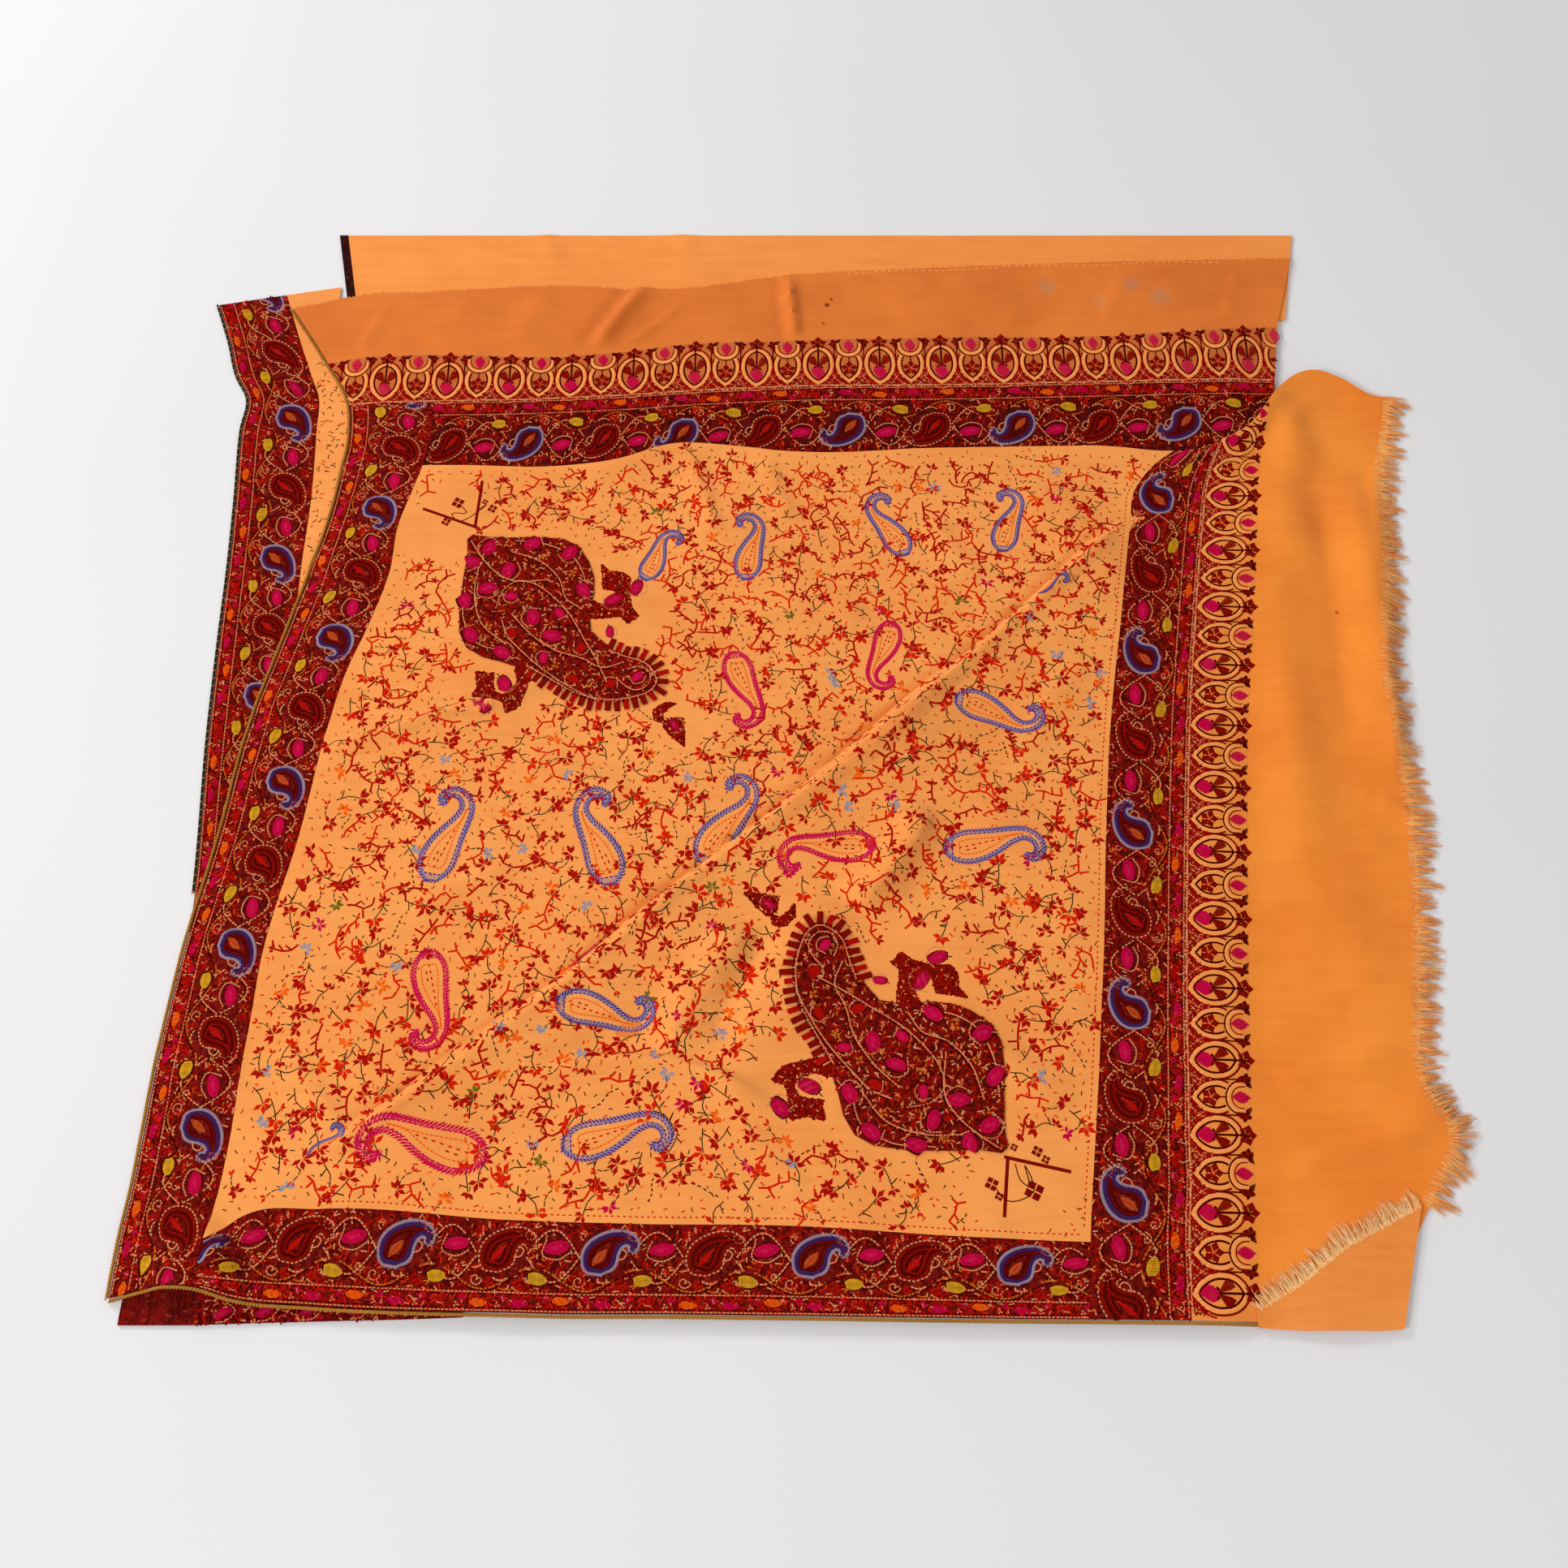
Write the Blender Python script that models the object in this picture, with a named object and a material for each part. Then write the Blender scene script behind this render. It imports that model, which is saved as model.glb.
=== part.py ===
"""An embroidered wool throw with paisley borders, folded and laid flat on a table.

The upper sheet lies on its own hidden folds. Its field sits inside borders of paisleys, with rows of
arches and plain frayed ends beyond them on two sides. The field is folded over the strip at the far
side, a long tuck crosses it, and the near right corner is folded back. The sheet below shows along the
left side and beyond the far end. Sizes in the tables are millimetres; the model itself is in metres.
x runs to the right, y away from the viewer and z up, and the table is at z = 0.
"""

import math

import bpy
import numpy as np

MM = 0.001

# The middle of the finished throw, in the millimetres of the tables below. It becomes the origin.
MIDDLE_X = 17.6
MIDDLE_Y = 78.4

WALL = 1.4  # the embroidered wool, with its stitches
SEAM_GAP = 0.4  # between panels that meet
EDGE_GAP = 0.7  # from the line of an edge to the hem or fringe sewn along it
CLEARANCE = 0.3  # between layers that lie on each other
UNDER_WALL = 1.5  # the sheet that shows below
STACK_LAYERS = 3
STACK_HEIGHT = 4.6
PLATEAU = STACK_HEIGHT + CLEARANCE  # underside of the upper sheet over the hidden folds
SHELF = UNDER_WALL + CLEARANCE  # underside of the upper sheet where one layer is below it
STACK_SET_BACK = 24.0  # from where the upper sheet starts to come down, to the hidden folds
FOLD_FADE = 0.22  # the share of its length in which a fold comes up, and goes down again

# How the upper sheet comes down from the hidden folds: where each slope starts past a seam, and its run.
HEM_SET_IN = 4.0
LEFT_SLOPE = 34.0
STRIP_SLOPE = 40.0
FAR_START = 14.0
FAR_SLOPE = 30.0
RIGHT_START = 16.0
RIGHT_SLOPE = 52.0
EDGE_RISE_WIDTH = 20.0  # how far the rise of the field's far edge reaches into the sheet

# Seams that run away from the viewer: their x where each section crosses the throw.
ACROSS = ("y", "left_hem", "field_left", "field_right", "arch_in", "arch_out", "fringe")
CROSS_SECTIONS = (
    (-430, -485, -424, 218, 290, 341, 440),
    (-365, -483, -420, 223, 294, 344, 462),
    (-325, -480, -415, 228, 299, 348, 486),
    (-295, -479, -413, 232, 301, 350, 503),
    (-250, -478, -412, 238, 305, 354, 486),
    (-200, -475, -410, 244, 309, 359, 491),
    (-150, -471, -408, 250, 314, 364, 499),
    (-50, -457, -392, 260, 325, 375, 511),
    (50, -446, -380, 272, 337, 387, 512),
    (100, -436, -371, 280, 344, 395, 511),
    (150, -425, -356, 289, 352, 403, 517),
    (200, -414, -344, 297, 360, 411, 526),
    (250, -404, -341, 306, 369, 418, 532),
    (290, -399, -331, 315, 377, 424, 535),
    (313, -397, -325, 333, 384, 428, 539),
    (335, -395, -322, 362, 394, 433, 545),
    (360, -396, -321, 384, 402, 439, 552),
    (385, -400, -321, 392, 407, 444, 557),
    (440, -430, -321, 394, 409, 448, 560),
    (500, -468, -321, 394, 409, 450, 560),
)

# Seams that run from left to right: their y where each section runs along the throw.
ALONG = ("x", "bottom_hem", "field_bottom", "top_stripe", "arch_top", "end_top")
LONG_SECTIONS = (
    (-490, -410, -372, 381, 424, 492),
    (-450, -401, -372, 381, 427, 500),
    (-420, -402, -368, 382, 432, 508),
    (-395, -409, -351, 383, 436, 513),
    (-340, -414, -346, 384, 439, 516),
    (-200, -419, -354, 388, 438, 523),
    (-150, -420, -356, 391, 443, 520),
    (-100, -420, -357, 395, 451, 520),
    (0, -421, -358, 401, 456, 536),
    (150, -423, -367, 403, 460, 546),
    (275, -424, -371, 406, 461, 552),
    (455, -427, -372, 411, 473, 557),
    (560, -428, -372, 413, 476, 560),
)

# The far edge of the field and of the right side, which is folded over the strip behind it:
# its y, how high it rises there, and how far the strip runs on below it.
EDGE = ("x", "top_edge", "rise", "under")
TOP_EDGE = (
    (-330, 313, 1.2, -0.6),
    (-280, 312, 2.6, -0.6),
    (-200, 311, 3.0, 6.0),
    (-150, 318, 4.2, 7.0),
    (-100, 334, 5.2, 7.0),
    (-50, 333, 4.2, 7.0),
    (0, 327, 3.4, 6.0),
    (150, 331, 3.2, 6.0),
    (275, 333, 3.4, 6.0),
    (389, 336, 4.4, 7.0),
    (431, 364, 7.0, 8.0),
    (452, 395, 8.0, 8.0),
    (487, 419, 7.4, 8.0),
    (515, 412, 5.0, 8.0),
    (541, 394, 3.4, 8.0),
    (562, 390, 2.6, 8.0),
)

# The right edge of the far strip.
STRIP_EDGE = ("y", "strip_right")
STRIP_SECTIONS = (
    (300, 440),
    (395, 452),
    (442, 460),
    (478, 466),
    (517, 477),
    (560, 489),
)

# The sheet below, where it shows along the left side: its hem, the seam of its border with its field,
# and where it goes in under the upper sheet as far as the hidden folds.
LOWER = ("y", "lower_hem", "lower_seam", "lower_in")
LOWER_SECTIONS = (
    (-422, -476, -424, -424),
    (-330, -472, -424, -424),
    (-250, -470, -424, -424),
    (-100, -470, -420, -410),
    (50, -480, -419, -400),
    (144, -484, -421, -386),
    (206, -486, -423, -372),
    (281, -490, -423, -362),
    (356, -495, -427, -356),
    (395, -495, -430, -372),
    (415, -506, -438, -392),
    (457, -520, -454, -417),
    (525, -546, -478, -424),
)
LOWER_FAR = ("x", "lower_far")
LOWER_FAR_SECTIONS = ((-546, 500), (-474, 514), (-400, 528))

# The folds that stand out of the upper sheet. A fold runs from its start to its end and bows to its
# left by bow; its height falls off within left_width and right_width of its line.
FOLD = ("start_x", "start_y", "end_x", "end_y", "bow", "height", "left_width", "right_width")
FOLDS = {
    "long_tuck_near": (-362, -318, -60, -72, -9, 4.2, 5, 42),
    "long_tuck_middle": (-150, -146, 150, 116, -8, 5.0, 5, 46),
    "long_tuck_far": (30, 4, 312, 266, -6, 4.2, 5, 40),
    "pinch_near_centre": (-205, -252, 2, -276, 26, 3.6, 12, 16),
    "swell_near_centre": (40, -84, -58, -262, 14, 3.8, 30, 34),
    "ridge_by_crest": (116, -16, 52, -116, 8, 5.4, 17, 24),
    "soft_left": (-400, 30, -196, 84, 6, 2.4, 12, 24),
    "soft_left_low": (-412, -120, -262, -60, -8, 2.0, 22, 26),
    "soft_field_top": (-60, 300, 30, 130, -12, 2.4, 26, 30),
    "soft_far_right": (206, 300, 296, 176, 10, 3.0, 22, 26),
    "soft_right": (150, -20, 252, -140, 8, 2.2, 24, 28),
    "border_near": (-240, -404, -96, -350, 0, 2.0, 24, 24),
    "border_near_right": (90, -404, 176, -360, 0, 1.8, 24, 24),
    "border_left_low": (-478, -250, -408, -214, 0, 1.8, 18, 18),
    "border_left_mid": (-448, 60, -376, 96, 0, 2.0, 18, 18),
    "border_left_top": (-418, 196, -350, 260, 0, 2.2, 16, 20),
    "lifted_corner_hem": (-452, -414, -396, -372, 0, 8.5, 30, 30),
    "end_ridge_far": (470, 404, 462, 190, -16, 5.2, 20, 24),
    "end_ridge_middle": (505, 330, 486, -10, 10, 5.0, 20, 22),
    "end_ridge_near": (440, 150, 420, -190, -12, 2.6, 26, 28),
    "end_wave_low": (392, -140, 500, -190, 0, 2.0, 24, 30),
    "end_lift_low": (470, -250, 516, -306, 0, 3.0, 24, 24),
    "pinch_strip_left": (-178, 446, -126, 530, 2, 4.0, 7, 10),
    "pinch_strip_middle": (4, 534, 10, 460, 0, 3.6, 6, 8),
    "strip_soft_left": (-330, 446, -290, 512, 4, 2.2, 18, 24),
    "strip_soft_right": (150, 536, 232, 470, 6, 2.2, 20, 26),
}

# Panels of the upper sheet. Each row names the seams that it lies between, with those that it crosses,
# and how many cells it has between one and the next: across first, then away from the viewer.
FROM_HEM = ("bottom_hem", "field_bottom", "top_edge")
PANELS = {
    "field": (("field_left", "field_right"), (26,), ("field_bottom", "top_edge"), (28,)),
    "border_left": (("left_hem", "field_left"), (3,), (*FROM_HEM, "top_stripe"), (2, 28, 3)),
    "border_bottom": (("field_left", "field_right"), (26,), ("bottom_hem", "field_bottom"), (2,)),
    "border_right": (("field_right", "arch_in"), (3,), FROM_HEM, (2, 28)),
    "arch_row_right": (("arch_in", "arch_out"), (2,), FROM_HEM, (2, 28)),
    "plain_end_right": (("arch_out", "fringe"), (6,), FROM_HEM, (2, 28)),
    "border_top": (("field_left", "strip_right"), (28,), ("strip_near", "top_stripe"), (3,)),
    "arch_row_top": (("left_hem", "field_left", "strip_right"), (3, 28), ("top_stripe", "arch_top"), (2,)),
    "plain_end_top": (("left_hem", "field_left", "strip_right"), (3, 28), ("arch_top", "end_top"), (4,)),
}
STRIP_PANELS = ("border_top", "arch_row_top", "plain_end_top")

# Hidden folds: the outline of each one steps back from the one below it, and its edge is rounded.
STACK_STEP = 2.5
STACK_POINTS = 56
STACK_NEAR_Y = -410.0
STACK_FAR_Y = 420.0
STACK_SQUARENESS = 0.28
STACK_FROM_HEM = 6.0
STACK_FROM_ARCHES = 16.0
STACK_ROUNDING = 0.9

# The sheet below: its cells, how near it reaches, and where its hem starts to show.
LOWER_BORDER = (("lower_hem", "lower_seam"), (3,), ("lower_near", "lower_middle", "lower_far"), (14, 14))
LOWER_NEAR_Y = -427.0
LOWER_MIDDLE_Y = 110.0
LOWER_HEM_FROM = -100.0

# Its border under the lifted hem at the near left corner: how near and how far it reaches at each x.
CORNER_STRIP = ("x", "near", "far")
CORNER_STRIP_SECTIONS = (
    (-424, -427, -392),
    (-395, -426, -394),
    (-360, -425, -404),
    (-320, -424, -412),
    (-275, -423, -417),
    (-230, -421.5, -418),
)

# Its plain cloth past the far end, from its near to its far edge, with the x of both corners on the left
# and on the right, and the width of its dark bound edge.
UNDER_END = (484.0, 588.0)
UNDER_LEFT = (-411.0, -432.0)
UNDER_RIGHT = (474.0, 494.0)
UNDER_BAND = 8.0

# The corner folded back over the plain end: its fringed edge, its lower edge and its fold on the right.
FLAP_FRINGE = ((338, -417), (372, -397), (408, -372), (442, -355), (469, -341))
FLAP_NEAR = ((338, -429), (370, -431), (400, -431), (424, -431), (442, -430))
FLAP_CELLS = (10, 4)
FLAP_PUFF = 2.4
FLAP_LIFT = 0.8  # between the folded corner and what it lies on

HEM_WIDTH = 2.6
HEM_HEIGHT = 2.0
FRINGE_STRIP = 2.4
FRINGE_THICK = 0.8
LOCK_TIP = 0.12  # half the width of a lock's tip, as a share of its root
RIGHT_LOCKS = 72
CORNER_LOCKS = 16
FAR_LOCKS = 36

# Corner paisleys: sections from the pointed base to the curled tip. along runs from the base; the other
# two are how far the motif reaches from its axis, on the side of the hook and on the side of the crest.
PAISLEY = ("along", "hook_side", "crest_side")
PAISLEY_SECTIONS = (
    (2, 3, 3),
    (14, 11, 14),
    (27, 22, 31),
    (40, 34, 47),
    (50, 43, 58),
    (66, 54, 73),
    (81, 57, 79),
    (98, 52, 76),
    (112, 44, 69),
    (124, 32, 64),
    (134, 16, 59),
    (149, 3, 57),
    (166, 3, 54),
    (184, 6, 50),
    (203, 15, 40),
    (212, 15, 33),
    (218, 13, 26),
    (223, 9, 19),
    (228, 3, 9),
)
PAISLEY_THICK = 0.7
PAISLEY_LIFT = 0.5  # between a corner paisley and the field
PAISLEY_ACROSS = 5
# Where each base lies, which way the motif points in degrees, and the side that its crest is on.
CORNER_PAISLEYS = {
    "corner_paisley_far": (-278, 238, -42, -1),
    "corner_paisley_near": (165, -305, 129, 1),
}

COLOURS = {
    "field": (0.90, 0.36, 0.09),
    "plain": (0.88, 0.30, 0.05),
    "maroon": (0.22, 0.02, 0.015),
    "arch": (0.62, 0.20, 0.06),
    "hem": (0.42, 0.24, 0.06),
    "dark": (0.05, 0.05, 0.03),
    "fringe": (0.86, 0.36, 0.10),
    "hidden": (0.55, 0.20, 0.05),
}


def column(names, rows, wanted):
    """One named column of a table, as numbers."""
    return np.array([row[names.index(wanted)] for row in rows], float)


def smooth_line(stations, values):
    """A function through a table's values that is smooth between its stations."""
    slopes = np.gradient(values, stations)

    def at(place):
        place = np.clip(np.asarray(place, float), stations[0], stations[-1])
        i = np.clip(np.searchsorted(stations, place) - 1, 0, len(stations) - 2)
        span = stations[i + 1] - stations[i]
        t = (place - stations[i]) / span
        keep, come = 1 - t, t
        return (
            values[i] * keep**2 * (1 + 2 * t)
            + values[i + 1] * come**2 * (3 - 2 * t)
            + slopes[i] * span * t * keep**2
            - slopes[i + 1] * span * t**2 * keep
        )

    return at


def seam_lines(names, rows):
    """Every seam of a table, as a smooth function of the table's first column."""
    stations = column(names, rows, names[0])
    return {n: smooth_line(stations, column(names, rows, n)) for n in names[1:]}


UP = seam_lines(ACROSS, CROSS_SECTIONS) | seam_lines(STRIP_EDGE, STRIP_SECTIONS)
UP |= seam_lines(LOWER, LOWER_SECTIONS)
OVER = seam_lines(ALONG, LONG_SECTIONS) | seam_lines(EDGE, TOP_EDGE)
OVER |= seam_lines(LOWER_FAR, LOWER_FAR_SECTIONS)
OVER["strip_near"] = lambda x: OVER["top_edge"](x) - OVER["under"](x)
OVER["lower_near"] = lambda x: np.full_like(x, LOWER_NEAR_Y)
OVER["lower_middle"] = lambda x: np.full_like(x, LOWER_MIDDLE_Y)


def ease(t):
    """0 below 0, 1 above 1, and smooth between."""
    t = np.clip(t, 0, 1)
    return t * t * (3 - 2 * t)


def between(lines, names, place, share, side):
    """Where a share falls between seams. Its whole part counts the seams and the rest lies past them."""
    stops = np.stack([lines[n](place) for n in names])
    stops[0] += side
    stops[-1] -= side
    i = np.clip(share.astype(int), 0, len(names) - 2)
    low = np.take_along_axis(stops, i[None], 0)[0]
    high = np.take_along_axis(stops, i[None] + 1, 0)[0]
    return low + (share - i) * (high - low)


def plan_points(across, along, s, t):
    """Points of a panel between its seams, at the shares s across it and t along it."""
    x, y = np.zeros_like(s), np.zeros_like(s)
    for _ in range(14):
        x = between(UP, across, y, s, SEAM_GAP / 2)
        y = between(OVER, along, x, t, SEAM_GAP / 2)
    return x, y


def fold_height(x, y):
    """How far the folds lift the upper sheet at each point."""
    total = np.zeros_like(x)
    for row in FOLDS.values():
        fold = dict(zip(FOLD, row, strict=True))
        run = np.array([fold["end_x"] - fold["start_x"], fold["end_y"] - fold["start_y"]], float)
        length = np.hypot(*run)
        run /= length
        dx, dy = x - fold["start_x"], y - fold["start_y"]
        share = (dx * run[0] + dy * run[1]) / length
        aside = dy * run[0] - dx * run[1] - fold["bow"] * 4 * share * (1 - share)
        width = np.where(aside > 0, fold["left_width"], fold["right_width"])
        ends = ease(share / FOLD_FADE) * ease((1 - share) / FOLD_FADE)
        total += fold["height"] * ends * np.exp(-((aside / width) ** 2))
    return total


def bed_height(x, y, strip):
    """The underside of the upper sheet, without its folds. It comes down beyond the hidden folds."""
    left = ease((x - UP["left_hem"](y) - HEM_SET_IN) / LEFT_SLOPE)
    base = SHELF + (PLATEAU - SHELF) * left
    if strip:
        right = ease((UP["strip_right"](y) - HEM_SET_IN - x) / STRIP_SLOPE)
        far = ease((OVER["arch_top"](x) + FAR_START - y) / FAR_SLOPE)
        return SHELF + (base - SHELF) * right * far
    return base * ease((UP["arch_out"](y) + RIGHT_START - x) / RIGHT_SLOPE)


def under_sheet(x, y, strip=False):
    """The underside of the upper sheet."""
    z = bed_height(x, y, strip) + fold_height(x, y)
    if strip:
        return z
    below_edge = OVER["top_edge"](x) - y
    return z + OVER["rise"](x) * np.exp(-((below_edge / EDGE_RISE_WIDTH) ** 2))


def add_object(name, points, faces, colour):
    """A node from points in millimetres and its faces."""
    placed = (np.asarray(points, float) - (MIDDLE_X, MIDDLE_Y, 0)) * MM
    mesh = bpy.data.meshes.new(name)
    mesh.from_pydata(placed.tolist(), [], [tuple(int(i) for i in f) for f in faces])
    mesh.validate()
    mesh.shade_smooth()
    mesh.set_sharp_from_angle(angle=math.radians(50))
    mesh.materials.append(material(colour))
    made = bpy.data.objects.new(name, mesh)
    bpy.context.scene.collection.objects.link(made)
    return made


def material(colour):
    """The wool in one of the throw's colours."""
    if colour in bpy.data.materials:
        return bpy.data.materials[colour]
    made = bpy.data.materials.new(colour)
    made.use_nodes = True
    shader = made.node_tree.nodes["Principled BSDF"]
    shader.inputs["Base Color"].default_value = (*COLOURS[colour], 1)
    shader.inputs["Roughness"].default_value = 0.85
    shader.inputs["Metallic"].default_value = 0.0
    return made


def grid_wall(name, x, y, low, high, colour):
    """A closed wall between two surfaces over one grid of points."""
    rows, columns = x.shape
    count = rows * columns
    bottom = np.stack([x, y, low], -1).reshape(-1, 3)
    top = np.stack([x, y, high], -1).reshape(-1, 3)
    faces = []
    for r in range(rows - 1):
        for c in range(columns - 1):
            a, b = r * columns + c, r * columns + c + 1
            d, e = a + columns, b + columns
            faces.append((count + a, count + b, count + e, count + d))
            faces.append((a, d, e, b))
    edge = [c for c in range(columns - 1)]
    edge += [r * columns + columns - 1 for r in range(rows - 1)]
    edge += [(rows - 1) * columns + c for c in range(columns - 1, 0, -1)]
    edge += [r * columns for r in range(rows - 1, 0, -1)]
    for a, b in zip(edge, edge[1:] + edge[:1], strict=True):
        faces.append((a, b, count + b, count + a))
    return add_object(name, np.concatenate([bottom, top]), faces, colour)


def shares(cells):
    """The shares of a panel's rows: each span between two seams has its own number of cells."""
    runs = [k + np.arange(n) / n for k, n in enumerate(cells)]
    return np.append(np.concatenate(runs), len(cells))


def panel_grid(across, columns, along, rows):
    """The plan of one panel, as rows of points."""
    t, s = np.meshgrid(shares(rows), shares(columns), indexing="ij")
    return plan_points(across, along, s, t)


def upper_sheet():
    """The panels of the sheet on top."""
    colours = {"field": "field", "plain": "plain", "border": "maroon", "arch": "arch"}
    for name, row in PANELS.items():
        x, y = panel_grid(*row)
        low = under_sheet(x, y, name in STRIP_PANELS)
        grid_wall(name, x, y, low, low + WALL, colours[name.split("_")[0]])


def hidden_folds():
    """The folds that lie inside, as one solid whose edge shows its layers."""
    turn = np.linspace(0, 2 * math.pi, STACK_POINTS, endpoint=False)
    # A rounded square walked by angle, then fitted between the seams.
    across = np.sign(np.cos(turn)) * np.abs(np.cos(turn)) ** STACK_SQUARENESS
    along = np.sign(np.sin(turn)) * np.abs(np.sin(turn)) ** STACK_SQUARENESS

    def outline(inset):
        y = (STACK_NEAR_Y + STACK_FAR_Y) / 2 + along * ((STACK_FAR_Y - STACK_NEAR_Y) / 2 - inset)
        left = UP["left_hem"](y) + HEM_SET_IN + LEFT_SLOPE + STACK_SET_BACK + inset
        right = UP["arch_in"](y) - STACK_SET_BACK - inset
        x = (left + right) / 2 + across * (right - left) / 2
        near = OVER["bottom_hem"](x) + STACK_FROM_HEM + inset
        far = OVER["arch_top"](x) - STACK_FROM_ARCHES - STACK_SET_BACK - inset
        return x, near + (along + 1) / 2 * (far - near)

    layer = STACK_HEIGHT / STACK_LAYERS
    rings = []
    for k in range(STACK_LAYERS):
        back = STACK_STEP * k
        for inset, share in ((STACK_ROUNDING, 0.0), (0, 0.35), (0, 0.7), (STACK_ROUNDING, 0.96)):
            rings.append((*outline(back + inset), layer * (k + share)))
    rings[-1] = (*outline(STACK_STEP * (STACK_LAYERS - 1) + STACK_ROUNDING), STACK_HEIGHT)
    points = np.concatenate([np.stack([x, y, np.full_like(x, z)], -1) for x, y, z in rings])
    n = STACK_POINTS
    faces = [tuple(range(n - 1, -1, -1))]
    for k in range(len(rings) - 1):
        for i in range(n):
            j = (i + 1) % n
            faces.append((k * n + i, k * n + j, (k + 1) * n + j, (k + 1) * n + i))
    faces.append(tuple(range((len(rings) - 1) * n, len(rings) * n)))
    add_object("hidden_folds", points, faces, "hidden")


def lower_sheet():
    """The sheet below, where it shows along the left side and under the lifted corner."""
    for name, across, along, columns, rows, colour in (
        ("lower_border", LOWER_BORDER[0], LOWER_BORDER[2], (3,), (14, 14), "maroon"),
        ("lower_field", ("lower_seam", "lower_in"), LOWER_BORDER[2][1:], (2,), (14,), "field"),
    ):
        x, y = panel_grid(across, columns, along, rows)
        low = np.zeros_like(x)
        grid_wall(name, x, y, low, low + UNDER_WALL, colour)
    strip = seam_lines(CORNER_STRIP, CORNER_STRIP_SECTIONS)
    stations = column(CORNER_STRIP, CORNER_STRIP_SECTIONS, "x")
    t, s = np.meshgrid(np.linspace(0, 1, 3), np.linspace(0, 1, 14), indexing="ij")
    x = stations[0] + SEAM_GAP + s * (stations[-1] - stations[0])
    y = strip["near"](x) * (1 - t) + strip["far"](x) * t
    low = np.zeros_like(x)
    grid_wall("lower_border_near", x, y, low, low + UNDER_WALL, "maroon")


def end_below():
    """The plain sheet below that shows past the far end, with its dark bound edge."""
    near_y, far_y = UNDER_END
    t, s = np.meshgrid(np.linspace(0, 1, 5), np.linspace(0, 1, 21), indexing="ij")
    left = UNDER_LEFT[0] + t * (UNDER_LEFT[1] - UNDER_LEFT[0])
    right = UNDER_RIGHT[0] + t * (UNDER_RIGHT[1] - UNDER_RIGHT[0])
    inner = left + UNDER_BAND + SEAM_GAP
    x = inner + s * (right - inner)
    y = near_y + t * (far_y - near_y)
    low = np.zeros_like(x)
    grid_wall("under_end", x, y, low, low + UNDER_WALL, "plain")
    x = left[:, :2] + (0, UNDER_BAND)
    low = np.zeros_like(x)
    grid_wall("under_end_binding", x, y[:, :2], low, low + UNDER_WALL + 0.2, "dark")


def folded_corner():
    """The corner folded back over the plain end."""
    across, along = FLAP_CELLS
    stations = np.linspace(0, 1, len(FLAP_FRINGE))
    far = [smooth_line(stations, np.array(FLAP_FRINGE, float)[:, i]) for i in (0, 1)]
    near = [smooth_line(stations, np.array(FLAP_NEAR, float)[:, i]) for i in (0, 1)]
    t, s = np.meshgrid(np.linspace(0, 1, along + 1), np.linspace(0, 1, across + 1), indexing="ij")
    x = near[0](s) + t * (far[0](s) - near[0](s))
    y = near[1](s) + t * (far[1](s) - near[1](s))
    low = flap_floor(x, y) + FLAP_PUFF * np.sin(math.pi * np.clip(s, 0, 1)) * (1 - t) ** 2
    grid_wall("folded_corner", x, y, low, low + WALL, "plain")
    return far


def flap_floor(x, y):
    """What the folded corner lies on: the plain end's upper side."""
    return under_sheet(x, y) + WALL + FLAP_LIFT


def rail(name, x, y, low, width, height, side, colour):
    """A sewn edge along a line of points: a closed bar of four sides, set beside the cloth."""
    dx, dy = np.gradient(x), np.gradient(y)
    length = np.hypot(dx, dy)
    nx, ny = -dy / length * side, dx / length * side
    inner_x, inner_y = x + nx * EDGE_GAP, y + ny * EDGE_GAP
    outer_x, outer_y = inner_x + nx * width, inner_y + ny * width
    gx = np.stack([inner_x, outer_x] if side < 0 else [outer_x, inner_x])
    gy = np.stack([inner_y, outer_y] if side < 0 else [outer_y, inner_y])
    gz = np.stack([low, low])
    return grid_wall(name, gx.T, gy.T, gz.T, gz.T + height, colour)


def panel_side(names, row, column):
    """The points along one side of panels that follow each other."""
    x, y = [], []
    for name in names:
        px, py = panel_grid(*PANELS[name])
        x.extend(px[row, column])
        y.extend(py[row, column])
    x, y = np.array(x), np.array(y)
    apart = np.append(True, np.hypot(np.diff(x), np.diff(y)) > 2)
    return x[apart], y[apart]


def hems():
    """The gold and the dark stitched edges."""
    x, y = panel_side(("border_left", "arch_row_top", "plain_end_top"), slice(None), 0)
    low = np.where(y > OVER["top_stripe"](x), under_sheet(x, y, True), under_sheet(x, y))
    rail("hem_left", x, y, low, HEM_WIDTH, HEM_HEIGHT, 1, "hem")
    x, y = panel_side(("border_left", "border_bottom", "border_right", "arch_row_right"), 0, slice(None))
    rail("hem_bottom", x, y, under_sheet(x, y), HEM_WIDTH, HEM_HEIGHT, -1, "hem")
    x, y = panel_grid(*LOWER_BORDER)
    shown = y[:, 0] > LOWER_HEM_FROM
    x, y = x[shown, 0], y[shown, 0]
    rail("lower_hem", x, y, np.zeros_like(y), HEM_WIDTH, 1.8, 1, "dark")


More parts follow.
